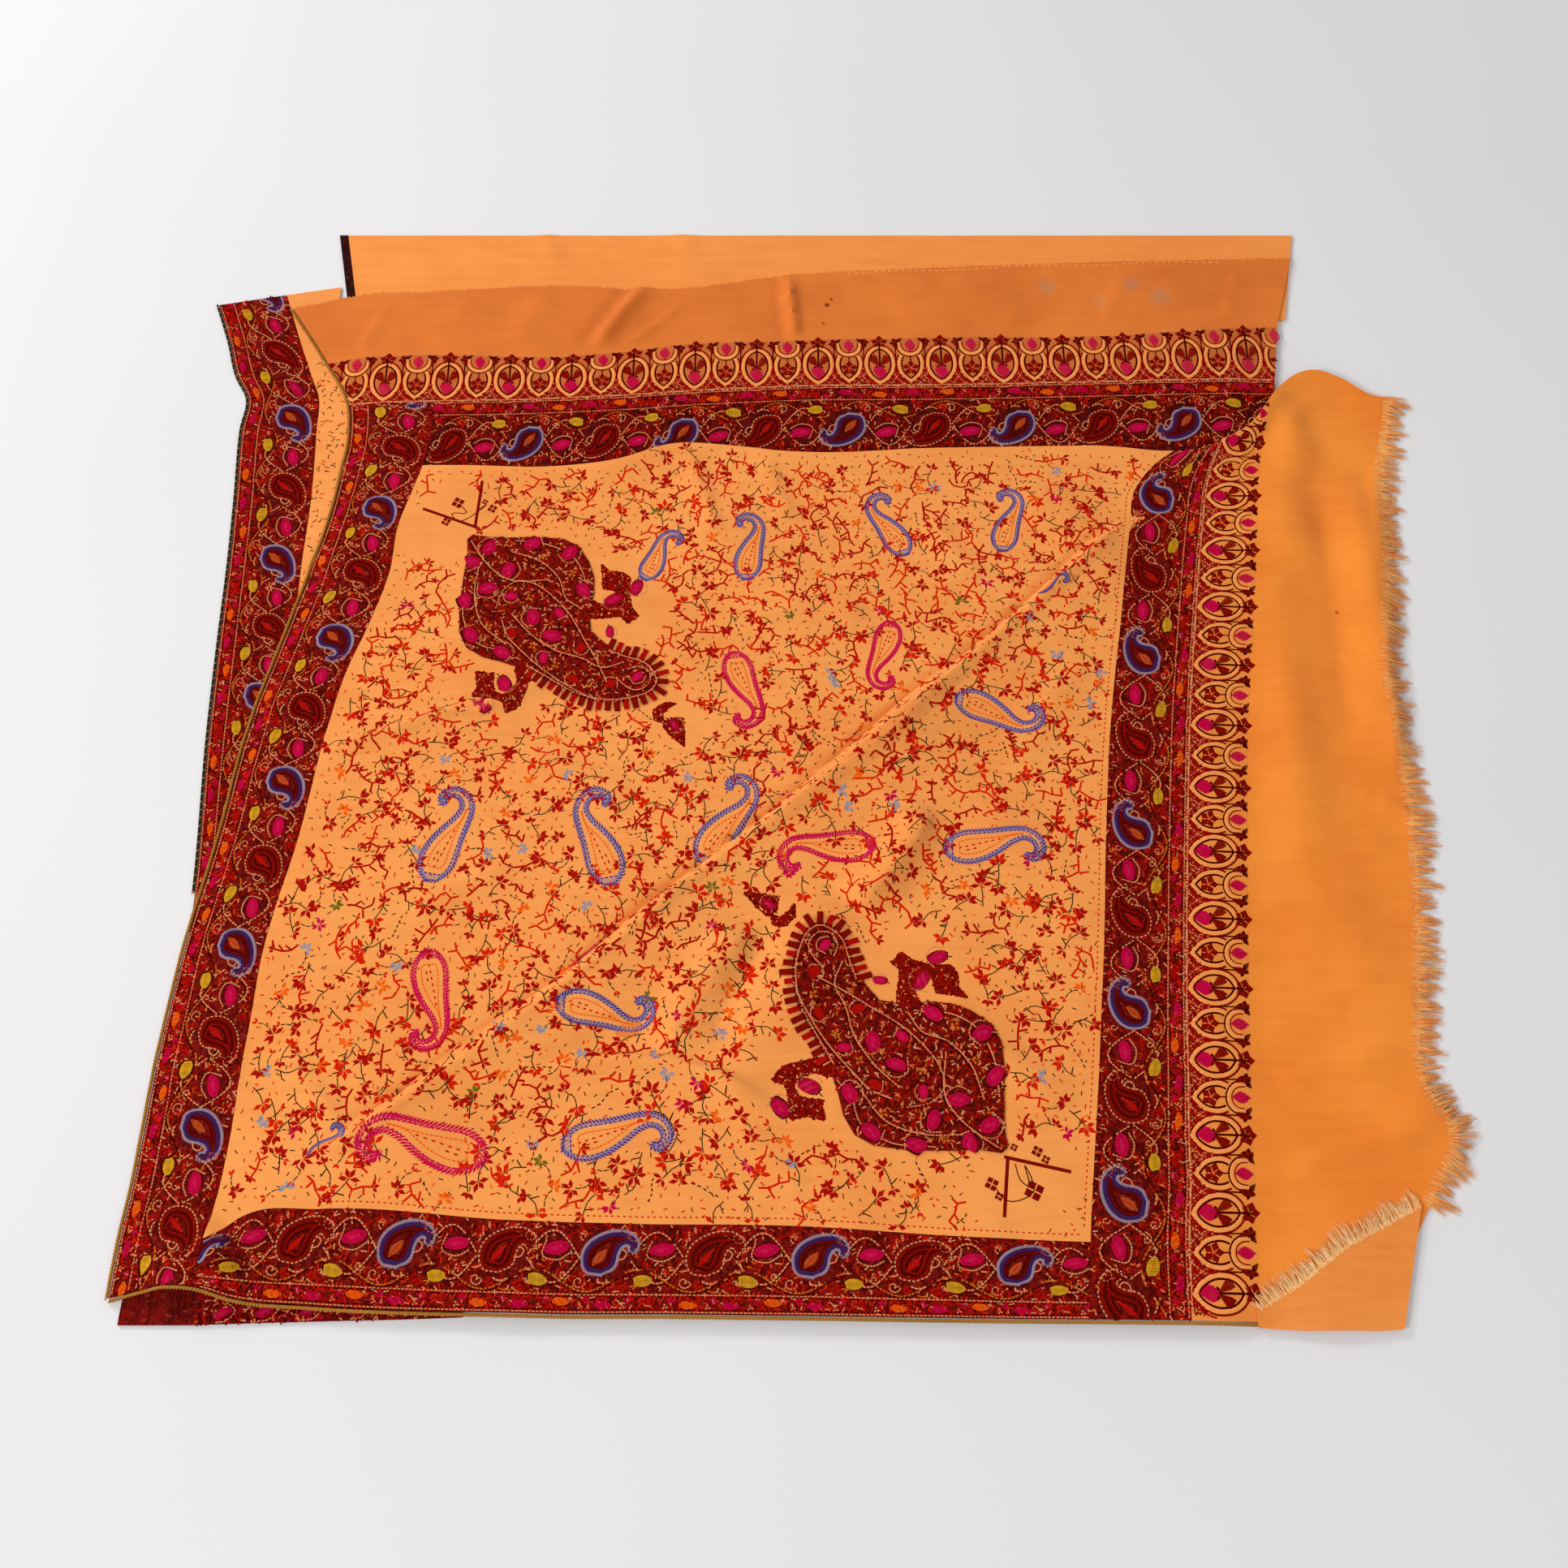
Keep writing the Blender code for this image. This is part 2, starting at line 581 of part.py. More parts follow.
def fringe(name, x, y, low, lengths, slants, side):
    """Frayed threads in locks: a narrow strip beside the cloth's edge, and locks that grow from it."""
    dx, dy = np.gradient(x), np.gradient(y)
    length = np.hypot(dx, dy)
    out = np.stack([-dy / length * side, dx / length * side], -1)
    run = np.stack([dx / length, dy / length], -1)
    line = np.stack([x, y], -1)
    inner = line + out * EDGE_GAP
    outer = inner + out * FRINGE_STRIP
    n = len(x)
    rows = [(inner, low), (outer, low), (outer, low + FRINGE_THICK), (inner, low + FRINGE_THICK)]
    points = np.concatenate([np.column_stack([p, z]) for p, z in rows])
    faces = [(0, n, 2 * n, 3 * n), (n - 1, 4 * n - 1, 3 * n - 1, 2 * n - 1)]
    tips = []
    for i in range(n - 1):
        j = i + 1
        faces.append((i, j, n + j, n + i))
        faces.append((2 * n + i, 2 * n + j, 3 * n + j, 3 * n + i))
        faces.append((3 * n + i, 3 * n + j, j, i))
        root = (n + i, n + j, 2 * n + j, 2 * n + i)
        if i % 2:
            faces.append(root)
            continue
        middle = (outer[i] + outer[j]) / 2
        way = out[i] + run[i] * slants[i // 2]
        end = middle + way / np.hypot(*way) * lengths[i // 2]
        half = (outer[j] - outer[i]) * LOCK_TIP
        lift = (low[i] + low[j]) / 2 + 0.1
        first = len(points) + len(tips)
        for p, z in ((end - half, lift), (end + half, lift), (end + half, lift + 0.4), (end - half, lift + 0.4)):
            tips.append((*p, z))
        for k in range(4):
            m = (k + 1) % 4
            faces.append((root[k], root[m], first + m, first + k))
        faces.append((first, first + 1, first + 2, first + 3))
    if side > 0:
        faces = [f[::-1] for f in faces]
    add_object(name, np.concatenate([points, tips]), faces, "fringe")


def along_side(points, first, last, count):
    """Points spaced evenly along a side between two shares of its length."""
    x, y = points
    run = np.append(0, np.cumsum(np.hypot(np.diff(x), np.diff(y))))
    place = np.linspace(first, last, count) * run[-1]
    return np.interp(place, run, x), np.interp(place, run, y)


def fringes(flap_line):
    """The frayed edges: along the right end, on the folded corner and at the far end."""
    side = panel_side(("plain_end_right",), slice(None), -1)
    x, y = along_side(side, 0.11, 0.995, 2 * RIGHT_LOCKS)
    i = np.arange(RIGHT_LOCKS)
    lengths = 15 + 4 * np.sin(i * 1.7) + 2 * np.sin(i * 0.41)
    slants = 0.25 * np.sin(i * 0.5) + 0.1 * np.sin(i * 1.3)
    fringe("fringe_right", x, y, under_sheet(x, y) * 0.6 + 0.3, lengths, slants, -1)
    s = np.linspace(0.04, 0.96, 2 * CORNER_LOCKS)
    x, y = flap_line[0](s), flap_line[1](s)
    i = np.arange(CORNER_LOCKS)
    lengths = 14 + 3 * np.sin(i * 1.3)
    fringe("fringe_corner", x, y, flap_floor(x, y) + 0.3, lengths, 0.2 * np.sin(i * 0.8), 1)
    side = panel_side(("plain_end_top",), -1, slice(None))
    x, y = along_side(side, 0.02, 0.98, 2 * FAR_LOCKS)
    i = np.arange(FAR_LOCKS)
    low = under_sheet(x, y, True) + 0.3
    fringe("fringe_far", x, y, low, 4 + np.sin(i * 1.1), 0.3 * np.sin(i * 1.1), 1)


def corner_paisleys():
    """The two dense paisleys worked in the corners of the field, standing a little out of it."""
    along = column(PAISLEY, PAISLEY_SECTIONS, "along")[:, None]
    hook = column(PAISLEY, PAISLEY_SECTIONS, "hook_side")[:, None]
    crest = column(PAISLEY, PAISLEY_SECTIONS, "crest_side")[:, None]
    share = np.linspace(0, 1, PAISLEY_ACROSS + 1)
    for name, (base_x, base_y, heading, side) in CORNER_PAISLEYS.items():
        if side > 0:
            aside = crest - share * (hook + crest)
        else:
            aside = hook - share * (hook + crest)
        way = math.radians(heading)
        x = base_x + along * math.cos(way) - aside * math.sin(way)
        y = base_y + along * math.sin(way) + aside * math.cos(way)
        low = under_sheet(x, y) + WALL + PAISLEY_LIFT
        grid_wall(name, x, y, low, low + PAISLEY_THICK, "maroon")


def main():
    for old in list(bpy.data.objects):
        bpy.data.objects.remove(old)
    upper_sheet()
    hidden_folds()
    lower_sheet()
    end_below()
    flap_line = folded_corner()
    hems()
    fringes(flap_line)
    corner_paisleys()


main()
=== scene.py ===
"""The looks of the folded throw: its wool, hems and frayed ends, and the embroidery stitch by stitch.

Sizes and places in the tables are millimetres on the table top, x to the right and y away from the
viewer. Every piece is built in them and placed in metres around MIDDLE, the middle of the throw.
"""

import math

import bpy
import numpy as np
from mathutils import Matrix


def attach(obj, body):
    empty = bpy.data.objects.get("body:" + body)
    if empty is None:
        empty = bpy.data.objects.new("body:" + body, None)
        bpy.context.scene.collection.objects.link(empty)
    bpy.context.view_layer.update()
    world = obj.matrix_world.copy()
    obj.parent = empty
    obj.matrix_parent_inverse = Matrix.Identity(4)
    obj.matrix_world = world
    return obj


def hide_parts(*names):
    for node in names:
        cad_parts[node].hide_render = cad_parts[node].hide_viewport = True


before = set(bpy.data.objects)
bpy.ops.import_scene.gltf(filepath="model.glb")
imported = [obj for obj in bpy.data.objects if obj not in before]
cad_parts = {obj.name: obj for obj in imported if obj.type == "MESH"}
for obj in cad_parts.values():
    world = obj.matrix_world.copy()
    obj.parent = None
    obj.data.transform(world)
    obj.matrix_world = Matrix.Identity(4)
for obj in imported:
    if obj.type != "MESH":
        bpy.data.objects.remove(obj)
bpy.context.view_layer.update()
rng = np.random.default_rng(11)

MM = 0.001
MIDDLE = (17.6, 78.4)
CAMERA_ELEVATION = 65.0
CAMERA_LENS = 38.0
CAMERA_DISTANCE = 1.3632

# The cloth's shells: their thickness and how low they reach. The gaps at the seams and beside the hems.
CLOTH = 1.0
UNDER_SHELL = {"thick": 1.3, "floor": 0.05}
UPPER_FLOOR = 0.1
SEAM_GAP = 0.06
EDGE_GAP = 0.7

# Heights of the solids' cloth: its walls, the top of the hidden folds and the edge beyond them.
WALL = 1.4
UNDER_WALL = 1.5
PLATEAU = 4.9
SHELF = 1.8
CORNER_LIFT = 0.8

# Seams that run away from the viewer: their x where each section crosses the throw.
ACROSS = ("y", "left_hem", "field_left", "field_right", "arch_in", "arch_out", "fringe")
CROSS_SECTIONS = (
    (-430, -485, -424, 218, 290, 341, 440),
    (-365, -483, -420, 223, 294, 344, 462),
    (-325, -480, -415, 228, 299, 348, 486),
    (-295, -479, -413, 232, 301, 350, 503),
    (-250, -478, -412, 238, 305, 354, 486),
    (-200, -475, -410, 244, 309, 359, 491),
    (-150, -471, -408, 250, 314, 364, 499),
    (-50, -457, -392, 260, 325, 375, 511),
    (50, -446, -380, 272, 337, 387, 512),
    (100, -436, -371, 280, 344, 395, 511),
    (150, -425, -356, 289, 352, 403, 517),
    (200, -414, -344, 297, 360, 411, 526),
    (250, -404, -341, 306, 369, 418, 532),
    (290, -399, -331, 315, 377, 424, 535),
    (313, -397, -325, 333, 384, 428, 539),
    (335, -395, -322, 362, 394, 433, 545),
    (360, -396, -321, 384, 402, 439, 552),
    (385, -400, -321, 392, 407, 444, 557),
    (440, -430, -321, 394, 409, 448, 560),
    (500, -468, -321, 394, 409, 450, 560),
)

# Seams that run from left to right: their y where each section runs along the throw.
ALONG = ("x", "bottom_hem", "field_bottom", "top_stripe", "arch_top", "end_top")
LONG_SECTIONS = (
    (-490, -410, -372, 381, 424, 492),
    (-450, -401, -372, 381, 427, 500),
    (-420, -402, -368, 382, 432, 508),
    (-395, -409, -351, 383, 436, 513),
    (-340, -414, -346, 384, 439, 516),
    (-200, -419, -354, 388, 438, 523),
    (-150, -420, -356, 391, 443, 520),
    (-100, -420, -357, 395, 451, 520),
    (0, -421, -358, 401, 456, 536),
    (150, -423, -367, 403, 460, 546),
    (275, -424, -371, 406, 461, 552),
    (455, -427, -372, 411, 473, 557),
    (560, -428, -372, 413, 476, 560),
)

# The far edge of the field and of the right side, folded over the strip behind it: its y, how high it
# rises there, and how far the strip runs on below it.
EDGE = ("x", "top_edge", "rise", "under")
TOP_EDGE = (
    (-330, 313, 1.2, -0.6),
    (-280, 312, 2.6, -0.6),
    (-200, 311, 3.0, 6.0),
    (-150, 318, 4.2, 7.0),
    (-100, 334, 5.2, 7.0),
    (-50, 333, 4.2, 7.0),
    (0, 327, 3.4, 6.0),
    (150, 331, 3.2, 6.0),
    (275, 333, 3.4, 6.0),
    (389, 336, 4.4, 7.0),
    (431, 364, 7.0, 8.0),
    (452, 395, 8.0, 8.0),
    (487, 419, 7.4, 8.0),
    (515, 412, 5.0, 8.0),
    (541, 394, 3.4, 8.0),
    (562, 390, 2.6, 8.0),
)

STRIP_EDGE = ("y", "strip_right")
STRIP_SECTIONS = ((300, 440), (395, 452), (442, 460), (478, 466), (517, 477), (560, 489))

# The sheet below, where it shows along the left side.
LOWER = ("y", "lower_hem", "lower_seam", "lower_in")
LOWER_SECTIONS = (
    (-422, -476, -424, -424),
    (-330, -472, -424, -424),
    (-250, -470, -424, -424),
    (-100, -470, -420, -410),
    (50, -480, -419, -400),
    (144, -484, -421, -386),
    (206, -486, -423, -372),
    (281, -490, -423, -362),
    (356, -495, -427, -356),
    (395, -495, -430, -372),
    (415, -506, -438, -392),
    (457, -520, -454, -417),
    (525, -546, -478, -424),
)
LOWER_FAR = ("x", "lower_far")
LOWER_FAR_SECTIONS = ((-546, 500), (-474, 514), (-400, 528))

# Its border under the lifted hem at the near left corner: how near and how far it reaches at each x.
CORNER_STRIP = ("x", "near", "far")
CORNER_STRIP_SECTIONS = (
    (-424, -427, -392),
    (-395, -426, -394),
    (-360, -425, -404),
    (-320, -424, -412),
    (-275, -423, -417),
    (-230, -421.5, -418),
)

# The folds of the upper sheet, from start to end. Each bows to its left by bow, and its height falls
# off within left_width and right_width of its line. The first ones are those of the solid.
FOLD = ("start_x", "start_y", "end_x", "end_y", "bow", "height", "left_width", "right_width")
FOLDS = {
    "long_tuck_near": (-362, -318, -60, -72, -9, 4.2, 5, 42),
    "long_tuck_middle": (-150, -146, 150, 116, -8, 5.0, 5, 46),
    "long_tuck_far": (30, 4, 312, 266, -6, 4.2, 5, 40),
    "pinch_near_centre": (-205, -252, 2, -276, 26, 3.6, 12, 16),
    "swell_near_centre": (40, -84, -58, -262, 14, 3.8, 30, 34),
    "ridge_by_crest": (116, -16, 52, -116, 8, 5.4, 17, 24),
    "soft_left": (-400, 30, -196, 84, 6, 2.4, 12, 24),
    "soft_left_low": (-412, -120, -262, -60, -8, 2.0, 22, 26),
    "soft_field_top": (-60, 300, 30, 130, -12, 2.4, 26, 30),
    "soft_far_right": (206, 300, 296, 176, 10, 3.0, 22, 26),
    "soft_right": (150, -20, 252, -140, 8, 2.2, 24, 28),
    "border_near": (-240, -404, -96, -350, 0, 2.0, 24, 24),
    "border_near_right": (90, -404, 176, -360, 0, 1.8, 24, 24),
    "border_left_low": (-478, -250, -408, -214, 0, 1.8, 18, 18),
    "border_left_mid": (-448, 60, -376, 96, 0, 2.0, 18, 18),
    "border_left_top": (-418, 196, -350, 260, 0, 2.2, 16, 20),
    "lifted_corner_hem": (-452, -414, -396, -372, 0, 8.5, 30, 30),
    "end_ridge_far": (470, 404, 462, 190, -16, 5.2, 20, 24),
    "end_ridge_middle": (505, 330, 486, -10, 10, 5.0, 20, 22),
    "end_ridge_near": (440, 150, 420, -190, -12, 2.6, 26, 28),
    "end_wave_low": (392, -140, 500, -190, 0, 2.0, 24, 30),
    "end_lift_low": (470, -250, 516, -306, 0, 3.0, 24, 24),
    "pinch_strip_left": (-178, 446, -126, 530, 2, 4.0, 7, 10),
    "pinch_strip_middle": (4, 534, 10, 460, 0, 3.6, 6, 8),
    "strip_soft_left": (-330, 446, -290, 512, 4, 2.2, 18, 24),
    "strip_soft_right": (150, 536, 232, 470, 6, 2.2, 20, 26),
}
CREASES = {
    "tuck_lip_near": (-362, -318, -60, -72, -9, 1.8, 2.2, 10),
    "tuck_lip_middle": (-150, -146, 150, 116, -8, 1.6, 2.2, 10),
    "tuck_lip_far": (30, 4, 312, 266, -6, 1.8, 2.2, 10),
    "tuck_groove_near": (-366, -312, -64, -66, -9, -2.6, 4.5, 2.2),
    "tuck_groove_middle": (-154, -140, 146, 122, -8, -2.6, 4.5, 2.2),
    "tuck_groove_far": (26, 10, 308, 272, -6, -2.6, 4.5, 2.2),
    "pinch_crest": (-200, -250, -4, -271, 26, 3.6, 4, 7),
    "swell_by_pinch": (-20, -126, -92, -236, -12, 7.0, 17, 19),
    "valley_between_swells": (-8, -120, -52, -232, -5, -3.4, 11, 10),
    "ridge_crest": (122, -20, 52, -112, 8, 4.4, 8, 15),
    "crease_left": (-392, 26, -223, 88, -2, 2.4, 2.8, 9),
    "crease_left_end": (-262, 62, -196, 100, 0, 1.8, 2.8, 8),
    "field_far_fold": (-90, 330, -60, 236, 3, 3.0, 7, 13),
    "field_far_fold_two": (-20, 322, 8, 254, 0, 2.2, 8, 13),
    "field_near_edge_left": (-396, -340, -300, -338, 4, 1.4, 6, 6),
    "field_near_edge": (-120, -348, 40, -352, 3, 0.9, 7, 7),
    "field_low_left": (-390, -222, -322, -306, 5, 2.4, 9, 14),
    "field_crest_left": (-40, -280, 20, -340, 4, 1.2, 8, 12),
    "field_right_low": (120, -180, 222, -270, -6, 2.8, 12, 17),
    "field_right_mid": (190, 6, 256, 122, 5, 2.4, 11, 16),
    "field_middle": (-222, 26, -118, -18, 5, 2.4, 10, 17),
    "field_middle_low": (-300, -120, -214, -76, 6, 2.0, 10, 16),
    "field_upper_mid": (-10, 196, 74, 150, 6, 2.2, 12, 16),
    "field_upper_right": (130, 262, 172, 190, -4, 2.2, 10, 15),
    "field_near_mid": (26, -226, 118, -286, 5, 2.2, 10, 16),
    "slope_by_pinch": (-196, -262, -40, -182, 12, -3.0, 14, 18),
    "end_slope": (432, 330, 424, -80, -4, 4.6, 24, 26),
    "end_rise": (512, 300, 504, -20, 4, 3.0, 18, 14),
    "end_far_swell": (446, 392, 470, 300, 8, 3.2, 14, 18),
    "end_low_swell": (420, -230, 486, -300, 8, 2.6, 22, 26),
    "end_low_dip": (440, -60, 460, -200, 0, 2.4, 20, 22),
    "end_trough_line": (478, 300, 472, 20, 2, -1.8, 12, 10),
    "end_edge_curl_far": (540, 330, 524, 210, -4, 1.8, 6, 7),
    "end_edge_curl": (517, 188, 500, -3, 8, 1.8, 5, 8),
    "end_notch": (484, -14, 520, -40, 4, 2.6, 5, 8),
    "end_press": (385, -3, 503, -10, 0, 1.0, 1.6, 3.0),
    "end_press_low": (368, -139, 498, -143, 0, 0.9, 1.6, 3.0),
    "end_press_lower": (362, -196, 496, -199, 0, 0.9, 1.6, 3.0),
    "end_press_upper": (398, 118, 512, 112, 0, 0.8, 1.6, 3.0),
    "end_fold_middle": (392, -62, 500, -48, 3, 1.6, 5, 9),
    "end_fold_mid_low": (372, -104, 494, -92, -3, 1.5, 4, 9),
    "end_fold_mid_up": (402, 62, 510, 78, -4, 1.4, 5, 10),
    "end_fold_low": (370, -254, 480, -222, 4, 2.4, 6, 11),
    "end_fold_lowest": (368, -320, 480, -288, 4, 2.6, 6, 11),
    "end_bulge_fold": (462, 372, 506, 398, 4, 1.4, 6, 8),
    "strip_pinch_left_crest": (-180, 440, -128, 532, 2, 1.7, 4.4, 5),
    "strip_pinch_left_groove": (-191, 448, -141, 534, 2, -2.2, 5.0, 4.6),
    "strip_pinch_middle_crest": (3, 544, 12, 452, 0, 1.9, 4.2, 4.4),
    "strip_pinch_middle_groove": (-8, 544, 1, 452, 0, -2.2, 4.4, 4.2),
    "strip_left_swell": (-250, 446, -222, 516, 4, 2.0, 14, 20),
    "strip_pinch_left_two": (-156, 448, -96, 506, -3, 1.4, 3, 6),
    "strip_fold": (300, 470, 330, 546, 2, 1.0, 5, 9),
    "strip_fold_right": (420, 480, 436, 548, 2, 1.1, 5, 8),
    "strip_fold_left": (-396, 444, -372, 504, 2, 1.1, 5, 8),
}
FOLD_FADE = 0.22


def column(names, rows, wanted):
    """One named column of a table, as numbers."""
    return np.array([row[names.index(wanted)] for row in rows], float)


def smooth_line(stations, values):
    """A function through a table's values that is smooth between its stations."""
    stations, values = np.asarray(stations, float), np.asarray(values, float)
    slopes = np.gradient(values, stations)

    def at(place):
        place = np.clip(np.asarray(place, float), stations[0], stations[-1])
        i = np.clip(np.searchsorted(stations, place) - 1, 0, len(stations) - 2)
        span = stations[i + 1] - stations[i]
        t = (place - stations[i]) / span
        keep, come = 1 - t, t
        return (
            values[i] * keep**2 * (1 + 2 * t)
            + values[i + 1] * come**2 * (3 - 2 * t)
            + slopes[i] * span * t * keep**2
            - slopes[i + 1] * span * t**2 * keep
        )

    return at


def seam_lines(names, rows):
    """Every seam of a table, as a smooth function of the table's first column."""
    stations = column(names, rows, names[0])
    return {n: smooth_line(stations, column(names, rows, n)) for n in names[1:]}


UP = seam_lines(ACROSS, CROSS_SECTIONS) | seam_lines(STRIP_EDGE, STRIP_SECTIONS)
UP |= seam_lines(LOWER, LOWER_SECTIONS)
OVER = seam_lines(ALONG, LONG_SECTIONS) | seam_lines(EDGE, TOP_EDGE)
OVER |= seam_lines(LOWER_FAR, LOWER_FAR_SECTIONS)
OVER["strip_near"] = lambda x: OVER["top_edge"](x) - OVER["under"](x)
OVER["lower_near"] = lambda x: np.full_like(x, -427.0)
OVER["lower_middle"] = lambda x: np.full_like(x, 110.0)


def ease(t):
    """0 below 0, 1 above 1, and smooth between."""
    t = np.clip(t, 0, 1)
    return t * t * (3 - 2 * t)


def between(lines, names, place, share, side):
    """Where a share falls between seams. Its whole part counts the seams and the rest lies past them."""
    stops = np.stack([lines[n](place) for n in names])
    stops[0] += side
    stops[-1] -= side
    i = np.clip(share.astype(int), 0, len(names) - 2)
    low = np.take_along_axis(stops, i[None], 0)[0]
    high = np.take_along_axis(stops, i[None] + 1, 0)[0]
    return low + (share - i) * (high - low)


def plan_points(across, along, s, t):
    """Points of a panel between its seams, at the shares s across it and t along it."""
    x, y = np.zeros_like(s), np.zeros_like(s)
    for _ in range(14):
        x = between(UP, across, y, s, SEAM_GAP / 2)
        y = between(OVER, along, x, t, SEAM_GAP / 2)
    return x, y


def fold_height(x, y, table):
    """How far the folds of a table lift the upper sheet at each point."""
    total = np.zeros_like(x)
    for row in table.values():
        fold = dict(zip(FOLD, row, strict=True))
        run = np.array([fold["end_x"] - fold["start_x"], fold["end_y"] - fold["start_y"]], float)
        length = np.hypot(*run)
        run /= length
        dx, dy = x - fold["start_x"], y - fold["start_y"]
        share = (dx * run[0] + dy * run[1]) / length
        aside = dy * run[0] - dx * run[1] - fold["bow"] * 4 * share * (1 - share)
        width = np.where(aside > 0, fold["left_width"], fold["right_width"])
        ends = ease(share / FOLD_FADE) * ease((1 - share) / FOLD_FADE)
        total += fold["height"] * ends * np.exp(-((aside / width) ** 2))
    return total


def bed_height(x, y, strip):
    """The underside of the upper sheet, without its folds. It comes down beyond the hidden folds."""
    left = ease((x - UP["left_hem"](y) - 4) / 34)
    base = SHELF + (PLATEAU - SHELF) * left
    if strip:
        right = ease((UP["strip_right"](y) - 4 - x) / 40)
        far = ease((OVER["arch_top"](x) + 14 - y) / 30)
        return SHELF + (base - SHELF) * right * far
    return base * ease((UP["arch_out"](y) + 16 - x) / 52)


# The middle of the cloth's ripple, and how far a crease may press it down.
RIPPLE_MIDDLE = 0.4
UPPER_DEEPEST = -2.4
STRIP_DEEPEST = -1.2


def ripple(x, y):
    """The slight unevenness of worn cloth, up to about half a millimetre."""
    wave = 0.16 * np.sin(x / 17.0 + 1.3 * np.sin(y / 41.0))
    wave = wave + 0.14 * np.sin(y / 13.0 + 1.7 * np.sin(x / 37.0))
    fine = 0.07 * np.sin(x / 5.3 + y / 9.1 + np.sin(y / 23.0)) + 0.06 * np.sin(y / 4.9 - x / 7.7)
    return RIPPLE_MIDDLE + wave + fine


def under_sheet(x, y, strip=False):
    """The underside of the upper sheet."""
    z = bed_height(x, y, strip) + fold_height(x, y, FOLDS)
    if strip:
        return z
    return z + OVER["rise"](x) * np.exp(-(((OVER["top_edge"](x) - y) / 20) ** 2))


def upper_side(x, y):
    """The upper side of the sheet on top."""
    relief = np.maximum(fold_height(x, y, CREASES), UPPER_DEEPEST) + ripple(x, y)
    return under_sheet(x, y) + relief + CLOTH


def strip_side(x, y):
    """The upper side of the strip beyond the field's far edge."""
    relief = np.maximum(fold_height(x, y, CREASES), STRIP_DEEPEST) + ripple(x, y)
    return under_sheet(x, y, True) + relief + CLOTH


def lower_side(x, y):
    """The upper side of the sheet below."""
    return np.full_like(x, UNDER_WALL) + 0.5 * (ripple(x, y) - RIPPLE_MIDDLE)


def corner_side(x, y):
    """The upper side of the corner that is folded back."""
    return under_sheet(x, y) + WALL + CORNER_LIFT + CLOTH + CORNER_PUFF * corner_swell(x, y)


def linear(colour):
    """A display colour, 0 to 255, as the linear colour that a shader takes."""
    c = np.asarray(colour, float) / 255
    value = np.where(c <= 0.04045, c / 12.92, ((c + 0.055) / 1.055) ** 2.4)
    return (*(float(v) for v in value), 1.0)


# The length of one band of the wave texture at a scale of 1.
WAVE_PERIOD = 0.31416


class Socket:
    """One output of a material's nodes, which Python's own signs can work on."""

    def __init__(self, recipe, output):
        self.recipe = recipe
        self.output = output

    def maths(self, operation, first, second):
        return self.recipe.node("ShaderNodeMath", {"operation": operation}, {0: first, 1: second})

    def __add__(self, other):
        return self.maths("ADD", self, other)

    __radd__ = __add__

    def __sub__(self, other):
        return self.maths("SUBTRACT", self, other)

    def __rsub__(self, other):
        return self.maths("SUBTRACT", other, self)

    def __mul__(self, other):
        return self.maths("MULTIPLY", self, other)

    __rmul__ = __mul__

    def highest(self, other):
        return self.maths("MAXIMUM", self, other)


class Recipe:
    """A material, and the nodes that it is mixed from."""

    def __init__(self, name, **fixed):
        self.material = bpy.data.materials.new(name)
        self.material.use_nodes = True
        self.tree = self.material.node_tree
        self.shader = self.tree.nodes["Principled BSDF"]
        for socket, value in fixed.items():
            self.shader.inputs[socket.replace("_", " ")].default_value = value

    def node(self, kind, settings=None, inputs=None, output=0):
        made = self.tree.nodes.new(kind)
        for key, value in (settings or {}).items():
            setattr(made, key, value)
        for key, value in (inputs or {}).items():
            self.feed(made.inputs[key], value)
        return Socket(self, made.outputs[output])

    def feed(self, socket, value):
        if isinstance(value, Socket):
            self.tree.links.new(value.output, socket)
        else:
            socket.default_value = value

    def shade(self, **varying):
        for socket, value in varying.items():
            self.feed(self.shader.inputs[socket.replace("_", " ")], value)
        return self.material

    def place(self):
        return self.node("ShaderNodeTexCoord", output=3)

    def noise(self, scale, stretch=(1, 1, 1), detail=3.0, rough=0.55):
        spread = self.node("ShaderNodeMapping", inputs={"Vector": self.place(), "Scale": stretch})
        inputs = {"Vector": spread, "Scale": scale, "Detail": detail, "Roughness": rough}
        return self.node("ShaderNodeTexNoise", inputs=inputs)

    def ramp(self, value, low, high):
        inputs = {"Value": value, "From Min": low, "From Max": high, "To Min": 0.0, "To Max": 1.0}
        return self.node("ShaderNodeMapRange", inputs=inputs)

    def mix(self, share, first, second, blend="MIX"):
        settings = {"data_type": "RGBA", "blend_type": blend}
        return self.node("ShaderNodeMix", settings, {0: share, 6: first, 7: second}, output=2)

    def threads(self, direction, pitch_mm):
        scale = WAVE_PERIOD / (pitch_mm * MM)
        return self.node(
            "ShaderNodeTexWave",
            {"bands_direction": direction},
            {"Vector": self.place(), "Scale": scale, "Distortion": 0.6, "Detail": 1.0, "Detail Scale": 0.2},
            output=1,
        )

    def bump(self, height, strength, distance_mm):
        inputs = {"Height": height, "Strength": strength, "Distance": distance_mm * MM}
        return self.node("ShaderNodeBump", inputs=inputs)


# A stain: its place on the throw, its radius, its colour, 0 to 255, and how strongly it shows.
STAIN = ("x", "y", "radius", "tint", "strength")


